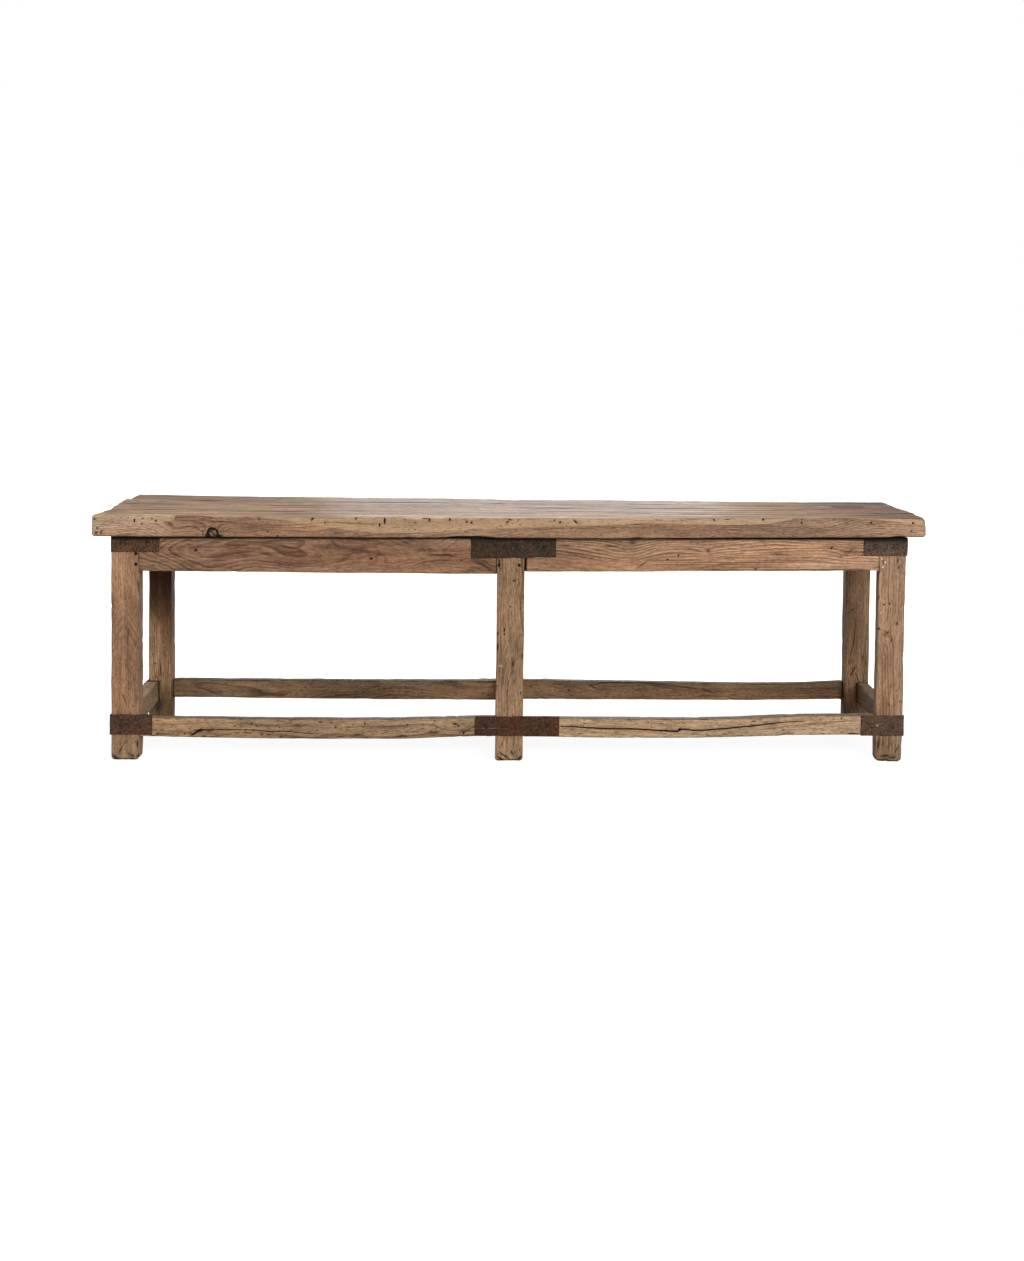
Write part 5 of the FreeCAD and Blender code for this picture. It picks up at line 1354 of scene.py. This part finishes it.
def make_rails():
    """Aprons, stretchers and cross pieces: bars whose edges follow their own lines, with knots and cracks."""
    for name, (tone, seed, edges) in RAILS.items():
        low, high, along = shown_box(name)
        front, back, stretcher = name.startswith("front"), name.startswith("back"), "stretcher" in name
        step, margin = (RAIL_STEP, FINE_EDGE) if name in MARKS else (PLAIN_RAIL_STEP, PLAIN_EDGE)
        step = np.array(step)[[along, 1 - along, 2]]
        rail = Timber(low, high, along, step, margin=margin, move=raised(low[2], high[2], along, edges))
        wear_rail(rail, stretcher, seed)
        rail.mark(MARKS.get(name, ()))
        if name in RAIL_CRACKS:
            rail.split_along(0, FORWARD, RAIL_CRACKS[name], CRACK_DEPTH)
        plain = PLAIN_PITH_BACK if back or name == "right_end_apron" else PLAIN_PITH
        inward, above, spacing, sway = RAIL_PITHS.get(name, plain)
        centre = (low + high) / 2
        pith = (centre[1 - along] + inward, centre[2] + above)
        knotted = knots(RAIL_KNOTS.get(name, ()), FRAME_FRONT)
        rail.grow(pith, spacing, sway, seed, knotted, CHURN.get(name, PLAIN_CHURN))
        s = rail.rest[:, along]
        dust = np.array(DUST_ACROSS if along else DUST_ALONG)
        dusty = (held(rail.normal[:, 2]) * stretcher)[:, None] * dust
        light = read_off(RAIL_TONES.get(name, EVEN), s)[:, None]
        figure, murk = FIGURES.get(name, PLAIN_FIGURE)
        age, dirt = (STRETCHER_AGE, STRETCHER_DIRT) if stretcher else (APRON_AGE, APRON_DIRT)
        rail.shade(np.array(tone) * light * (1 - dusty), age, figure, murk)
        # Painted shade at the rail's ends, where it meets the legs.
        ending = np.minimum(s - low[along], high[along] - s)
        tight = TIGHT_LESS * (front and not stretcher) * (np.abs(s) > TIGHT_FROM)
        rail.stain += (MEETING_SHADE - tight) * hump(ending, MEETING_SHADE_REACH_ACROSS if along else MEETING_SHADE_REACH)
        rail.soil(dirt, FRAME_DIRT_REACH, seed + 10)
        # Painted shade of the crevice below the top, on the aprons.
        if not stretcher:
            rail.shadow_line()
        if name == "front_right_apron":
            tenon = (s == low[0]) & (rail.rest[:, 1] > low[1] + OPEN_DEPTH)
            rail.point[tenon, 0] = LEG / 2
        rail.make(name, "frame_wood", FRAME_WOOD)


def make_battens():
    """The two battens under the top: plain bars with soft arrises."""
    for name, seed in BATTENS.items():
        low, high = box(name)
        batten = Timber(low, high, 1, BATTEN_STEP, margin=PLAIN_EDGE)
        batten.wear(BATTEN_ROUND)
        batten.uneven(*BATTEN_HOLLOWS)
        batten.grow((low[0] + BATTEN_PITH, BATTEN_PITH_HEIGHT), BATTEN_RINGS, BATTEN_SWAY, seed)
        batten.shade(BATTEN_TONE, BATTEN_AGE)
        batten.make(name, "frame_wood", FRAME_WOOD)


# Corner straps: low and high edge, length of each arm, and tone.
CORNER_STRAPS = {
    "front_left_upper_strap": (0.656, 0.706, 0.1475, (1.44, 1.14, 0.91)),
    "front_right_upper_strap": (0.650, 0.706, 0.134, (1.13, 1.09, 1.08)),
    "front_left_lower_strap": (0.081, 0.145, 0.127, (1.09, 0.925, 0.85)),
    "front_right_lower_strap": (0.084, 0.148, 0.130, (1.11, 1.00, 0.92)),
    "back_left_upper_strap": (0.642, 0.706, 0.134, (1.10, 1.05, 1.00)),
    "back_right_upper_strap": (0.642, 0.706, 0.134, (1.15, 1.15, 1.15)),
    "back_left_lower_strap": (0.081, 0.145, 0.134, (1.10, 1.05, 1.00)),
    "back_right_lower_strap": (0.076, 0.140, 0.134, (1.15, 1.15, 1.15)),
}
# Straps over the middle legs: low and high edge, x of both ends, and tone.
MIDDLE_STRAPS = {
    "front_middle_upper_strap": (0.642, 0.706, (-0.1225, 0.1425), (0.58, 0.595, 0.47)),
    "front_middle_lower_strap": (0.080, 0.142, (-0.1055, 0.1595), (0.91, 0.60, 0.44)),
    "back_middle_upper_strap": (0.642, 0.706, (-0.1225, 0.1425), (0.80, 0.88, 0.88)),
    "back_middle_lower_strap": (0.081, 0.145, (-0.1075, 0.1575), (1.05, 0.95, 0.90)),
}
# How far the arm on the leg's outer side is let into the wood.
LET_IN = {"front_left_upper_strap": 0.0032, "front_left_lower_strap": 0.0015}
# The inner radius of a bend with the grid lines in it, and lines at the edges and steps of the strip.
BEND, BEND_STEP, BEND_LINES = 0.0012, 0.0005, 10
STRAP_EDGE, STRAP_STEP = (0, 0.0006, 0.0014), (0.0026, 0.0020, 0.0026)
# Hammer work: arrises, dents as depth and size, how far edges wander, over what length, depth of marks.
STRAP_ROUND, STRAP_DENTS, STRAP_DENT_SIZE = 0.0008, 0.0004, (0.03, 1.0, 0.03)
EDGE_WANDER, WANDER_LENGTH, STRAP_MARK_DEPTH = 0.0009, 0.06, 0.0006
# Dirt as stain and reach from the edges, and round nails as reach, power and stain, on the corner straps
# and the middle ones; painted shade on those below the top.
STRAP_DIRT, STRAP_DIRT_REACH, STRAP_CREVICE_SHADE = 0.35, 0.0035, 0.85
NAIL_DIRT_REACH, NAIL_DIRT_POWER, NAIL_DIRT, MIDDLE_NAIL_DIRT = (0.0095, 0.0095, 0.0095), 2.0, 0.65, 0.25
# How lower straps stand off at the corner; how upper middle ones sit high, and sag at the lower left.
STAND_OFF, STAND_OFF_REACH, SIT_HIGH, SAG_LEFT = 0.0022, 0.02, 0.0015, 0.005
# Nails: places from the corner, from a strap's end, below the middle, and from the middle of a leg.
NAIL_NEAR, NAIL_FAR, NAIL_DROP, NAIL_PAIR = 0.033, 0.036, 0.012, 0.020
# Nail heads: rows of radius and height, sides, lobes as size and count, and the spread of tones.
NAIL_PROFILE = (
    (0, 0.0030), (0.0024, 0.0027), (0.0047, 0.0018), (0.0063, 0.0006), (0.0058, -0.0015), (0, -0.0015),
)
NAIL_SIDES, NAIL_LOBES, NAIL_TONES = 14, ((0.10, 3), (0.07, 2)), (0.7, 1.1)


def bent(corner, ahead, outward, before):
    """A move of a strip (along, out, up) to the wood: straight, a quarter arc, then down the next face."""
    ahead, outward = np.array(ahead, float), np.array(outward, float)
    centre = np.array(corner, float) - BEND * (ahead + outward)
    radius = BEND + STRAP / 2

    def move(point):
        s, out, up = point.T
        turn = np.clip((s - before) / radius, 0, np.pi / 2)
        normal = outward * np.cos(turn)[:, None] + ahead * np.sin(turn)[:, None]
        plan = centre + normal * (BEND + out)[:, None]
        plan += ahead * np.minimum(s - before, 0)[:, None]
        plan -= outward * np.maximum(s - before - radius * np.pi / 2, 0)[:, None]
        return leaned(np.column_stack((plan, up)))

    return move


def hammer(bar, name, seed, tone, nails):
    """Works a strip over: soft arrises, a dented face, wandering edges, dirt round nails and its marks."""
    bar.wear(STRAP_ROUND)
    bar.uneven(STRAP_DENTS, STRAP_DENT_SIZE, seed)
    s, middle = bar.rest[:, :1], (bar.low[2] + bar.high[2]) / 2
    share = (bar.rest[:, 2] - middle) / (bar.high[2] - middle)
    upper, lower = (waves(s, WANDER_LENGTH, seed + number) for number in (1, 2))
    bar.point[:, 2] += EDGE_WANDER * np.where(share > 0, upper, lower) * np.abs(share)
    bar.shade(tone, 0.0)
    bar.soil(STRAP_DIRT, STRAP_DIRT_REACH, seed + 3)
    bar.mark(MARKS.get(name, ()), 1, STRAP_MARK_DEPTH)
    dirt = MIDDLE_NAIL_DIRT if "middle" in name else NAIL_DIRT
    for place, _ in nails:
        bar.stain += dirt * bar.bell(leaned(np.array([place]))[0], NAIL_DIRT_REACH, NAIL_DIRT_POWER)
    # Painted shade of the crevice below the top, on the upper straps.
    if "upper" in name:
        bar.shadow_line(STRAP_CREVICE_SHADE)


def corner_strap(name, low, high, arm, tone, seed):
    """A strap bent round a corner: the strip, its nails as place and way, and if the move turns it over."""
    row, side = name.split("_")[:2]
    x_side, y_side = (-1 if side == "left" else 1), (-1 if row == "front" else 1)
    x = (FRAME_LEFT if x_side < 0 else FRAME_RIGHT) + LET_IN.get(name, 0.0)
    y = FRAME_FRONT if y_side < 0 else FRAME_BACK
    middle, before = (low + high) / 2, arm - BEND
    nails = []
    for off in (NAIL_NEAR, arm - NAIL_FAR):
        nails.append(((x - x_side * off, y + y_side * STRAP, middle), (0, y_side, 0)))
        nails.append(((x + x_side * STRAP, y - y_side * off, middle - NAIL_DROP), (x_side, 0, 0)))
    length = 2 * before + (BEND + STRAP / 2) * np.pi / 2
    extra = (before + BEND_STEP * np.arange(BEND_LINES), (), ())
    move = bent((x, y), (x_side, 0), (0, y_side), before)
    bar = Timber((0, 0, low), (length, STRAP, high), 0, STRAP_STEP, extra, STRAP_EDGE, move)
    hammer(bar, name, seed, tone, nails)
    if "lower" in name:
        bar.point[:, 1] += STAND_OFF * hump(bar.rest[:, 0] - arm, STAND_OFF_REACH)
    return bar, nails, x_side * y_side > 0


def middle_strap(name, low, high, ends, tone, seed):
    """A strap over a middle leg: the strip, its nails as place and way, and if the move turns it over."""
    y_side = -1 if name.startswith("front") else 1
    face = FRAME_FRONT if y_side < 0 else FRAME_BACK
    length, middle = ends[1] - ends[0], (low + high) / 2
    columns = (ends[0] + NAIL_FAR, ends[1] - NAIL_FAR, -NAIL_PAIR, NAIL_PAIR)
    nails = [((x, face + y_side * STRAP, middle), (0, y_side, 0)) for x in columns]
    move = bent((ends[1], face), (1, 0), (0, y_side), length)
    bar = Timber((0, 0, low), (length, STRAP, high), 0, STRAP_STEP, margin=STRAP_EDGE, move=move)
    hammer(bar, name, seed, tone, nails)
    if "upper" in name:
        leftward = 1 - bar.rest[:, 0] / length
        bar.point[:, 2] += SIT_HIGH - SAG_LEFT * leftward * (bar.rest[:, 2] < middle)
    return bar, nails, y_side > 0


def make_straps():
    """Flat iron bars, bent round the corners or laid straight over the middle legs, and their nails."""
    nails, tones = [], []
    for number, (name, shape) in enumerate((CORNER_STRAPS | MIDDLE_STRAPS).items()):
        work = corner_strap if name in CORNER_STRAPS else middle_strap
        bar, own, turned = work(name, *shape, 401 + 7 * number)
        if turned:
            bar.quads = bar.quads[:, ::-1]
        bar.make(name, "strap_iron", STRAP_IRON)
        nails += own
        tones += [shape[-1]] * len(own)
    make_nails(np.array(nails), np.array(tones))


def make_nails(nails, tones):
    """Forged nail heads: low closed domes turned about each nail's line, with rims moved by seeded waves."""
    rng = np.random.default_rng(5)
    turn = np.arange(NAIL_SIDES) * 2 * np.pi / NAIL_SIDES
    place, way = nails[:, 0], nails[:, 1]
    up = np.array((0.0, 0.0, 1.0))
    beside = np.cross(up, way)
    phases = rng.uniform(0, 6, (2, len(place), 1))
    lobes = 1 + sum(size * np.cos(count * turn + phase) for (size, count), phase in zip(NAIL_LOBES, phases))
    profile = np.array(NAIL_PROFILE)
    rings = profile[1:-1]
    radial = np.cos(turn)[:, None] * beside[:, None, :] + np.sin(turn)[:, None] * up
    rim = place[:, None, None] + rings[:, 0][:, None, None] * (lobes[..., None] * radial)[:, None]
    rim = rim + rings[:, 1][:, None, None] * way[:, None, None]
    poles = place[:, None] + profile[[0, -1], 1][:, None] * way[:, None]
    point = np.concatenate((rim.reshape(len(place), -1, 3), poles), 1)
    here = np.arange(len(rings) * NAIL_SIDES).reshape(len(rings), NAIL_SIDES)
    after = np.roll(here, -1, 1)
    top, bottom = here.size, here.size + 1
    faces = np.concatenate((
        np.stack((np.full(NAIL_SIDES, top), here[0], after[0]), -1),
        np.stack((here[:-1], here[1:], after[1:]), -1).reshape(-1, 3),
        np.stack((here[:-1], after[1:], after[:-1]), -1).reshape(-1, 3),
        np.stack((np.full(NAIL_SIDES, bottom), after[-1], here[-1]), -1),
    ))
    each = here.size + 2
    faces = (faces[None] + each * np.arange(len(place))[:, None, None]).reshape(-1, 3)
    tone = np.repeat(tones * rng.uniform(*NAIL_TONES, (len(place), 1)), each, 0)
    point = leaned(point.reshape(-1, 3))
    add_mesh("strap_nails_forged", point, faces, {"tone": tone}, NAIL_IRON, "strap_nails")


def finish_node(node, finish):
    """Gives a CAD node that stays as it is a finish through its object's own material slots."""
    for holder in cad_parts[node].material_slots:
        holder.link = "OBJECT"
        holder.material = finish


make_planks()
make_patches()
make_legs()
make_rails()
make_battens()
make_straps()
finish_node("joint_pegs", PEG_WOOD)
finish_node("batten_screws", SCREW_STEEL)


# The floor: half its side, two greys, the strength that is white to the camera, and where shadows fade.
FLOOR_HALF, FLOOR_GREYS, FLOOR_WHITE = 40.0, ((0.62, 0.62, 0.62), (0.65, 0.65, 0.65)), 1.64
SHADOW_NEAR, SHADOW_FAR, SHADOW_LONG, SHADOW_HIDDEN = 0.7, 1.6, 0.4, 0.55
# The light of the surround where it isn't seen.
SURROUND = 0.15
# Lamps: place, target, width, height and power. The sun: place, strength and angle in degrees.
KEY_LAMP = ((2.0, -6.0, 2.1), (0.0, 0.0, 0.45), 5.0, 1.3, 360)
BACK_LAMP = ((0.1, 3.4, 1.1), (0.0, 0.0, 0.75), 1.9, 0.9, 34)
SUN = ((-0.8, -0.6, 3.0), 0.5, 60)
# The camera: place, pitch and roll in radians, lens and sensor in mm, and shift.
EYE, PITCH, ROLL, LENS, SENSOR, SHIFT = (0.009, -7.2153, 1.296), 0.064, 0.0027, 62.787, 36.0, -0.1127
WHITE = (1.0, 1.0, 1.0, 1.0)


def make_floor():
    """A pale floor that is white to the camera but keeps the shadow near the table."""
    half = FLOOR_HALF
    data = bpy.data.meshes.new("floor")
    corners = [(-half, -half, 0), (half, -half, 0), (half, half, 0), (-half, half, 0)]
    data.from_pydata(corners, [], [(0, 1, 2, 3)])
    material, start = new_finish("floor_paint")
    seen = start.node("ShaderNodeLightPath", {}, {})[0]
    place = start.node("ShaderNodeTexCoord", {}, {})[3]
    grey = place.noise((1.5, 1.5, 1.5), 2.0)
    right, back, _ = place.parts()
    far = ((right * right * SHADOW_LONG + back * back) ** 0.5).soft(SHADOW_NEAR, SHADOW_FAR)
    paint = start.mixed(rgb(*FLOOR_GREYS[0]), rgb(*FLOOR_GREYS[1]), grey)
    matt = start.node("ShaderNodeBsdfDiffuse", {}, {"Color": paint})[0]
    glow = start.node("ShaderNodeEmission", {}, {"Color": WHITE, "Strength": FLOOR_WHITE})[0]
    share = seen * (SHADOW_HIDDEN + (1 - SHADOW_HIDDEN) * far)
    show(start, start.node("ShaderNodeMixShader", {}, {0: share, 1: matt, 2: glow})[0])
    data.materials.append(material)
    floor = add_object("floor", data)


def make_surround():
    """A surround that is white to the camera, in gloss and through glass, and lights the table faintly."""
    world = bpy.data.worlds.new("surround")
    bpy.context.scene.world = world
    world.use_nodes = True
    world.node_tree.nodes.clear()
    start = Socket(world.node_tree)
    path = start.node("ShaderNodeLightPath", {}, {})
    seen = path[0].most(path[3]).most(path[6])
    strength = SURROUND + (1 - SURROUND) * seen
    light = start.node("ShaderNodeBackground", {}, {"Color": WHITE, "Strength": strength})[0]
    start.node("ShaderNodeOutputWorld", {}, {"Surface": light})


def hang(name, data, place, target):
    """Hangs a lamp at a place so that it shines at a target, unseen by the camera."""
    made = add_object(name, data)
    back = Vector(place) - Vector(target)
    made.matrix_world = Matrix.Translation(place) @ back.to_track_quat("Z", "Y").to_matrix().to_4x4()
    made.visible_camera = False


def sun(name, place, strength, degrees):
    """A wide soft sun that shines at the origin."""
    data = bpy.data.lights.new(name, "SUN")
    data.energy, data.angle = strength, np.radians(degrees)
    hang(name, data, place, (0, 0, 0))


def lamp(name, place, target, wide, tall, power):
    """A soft lamp with a wide, low face."""
    data = bpy.data.lights.new(name, "AREA")
    data.shape, data.size, data.size_y, data.energy = "RECTANGLE", wide, tall, power
    hang(name, data, place, target)


def make_camera():
    """The camera at the photograph's viewing angle."""
    view = bpy.data.cameras.new("view")
    view.lens, view.sensor_width, view.sensor_fit = LENS, SENSOR, "AUTO"
    view.shift_y = SHIFT
    view.clip_end = 200.0
    camera = add_object("view", view)
    level = Matrix.Translation(EYE) @ Matrix.Rotation(np.pi / 2 - PITCH, 4, "X")
    camera.matrix_world = level @ Matrix.Rotation(ROLL, 4, "Z")
    bpy.context.scene.camera = camera


make_floor()
make_surround()
lamp("key", *KEY_LAMP)
sun("top", *SUN)
lamp("behind", *BACK_LAMP)
make_camera()
bpy.context.scene.view_settings.view_transform = "Standard"
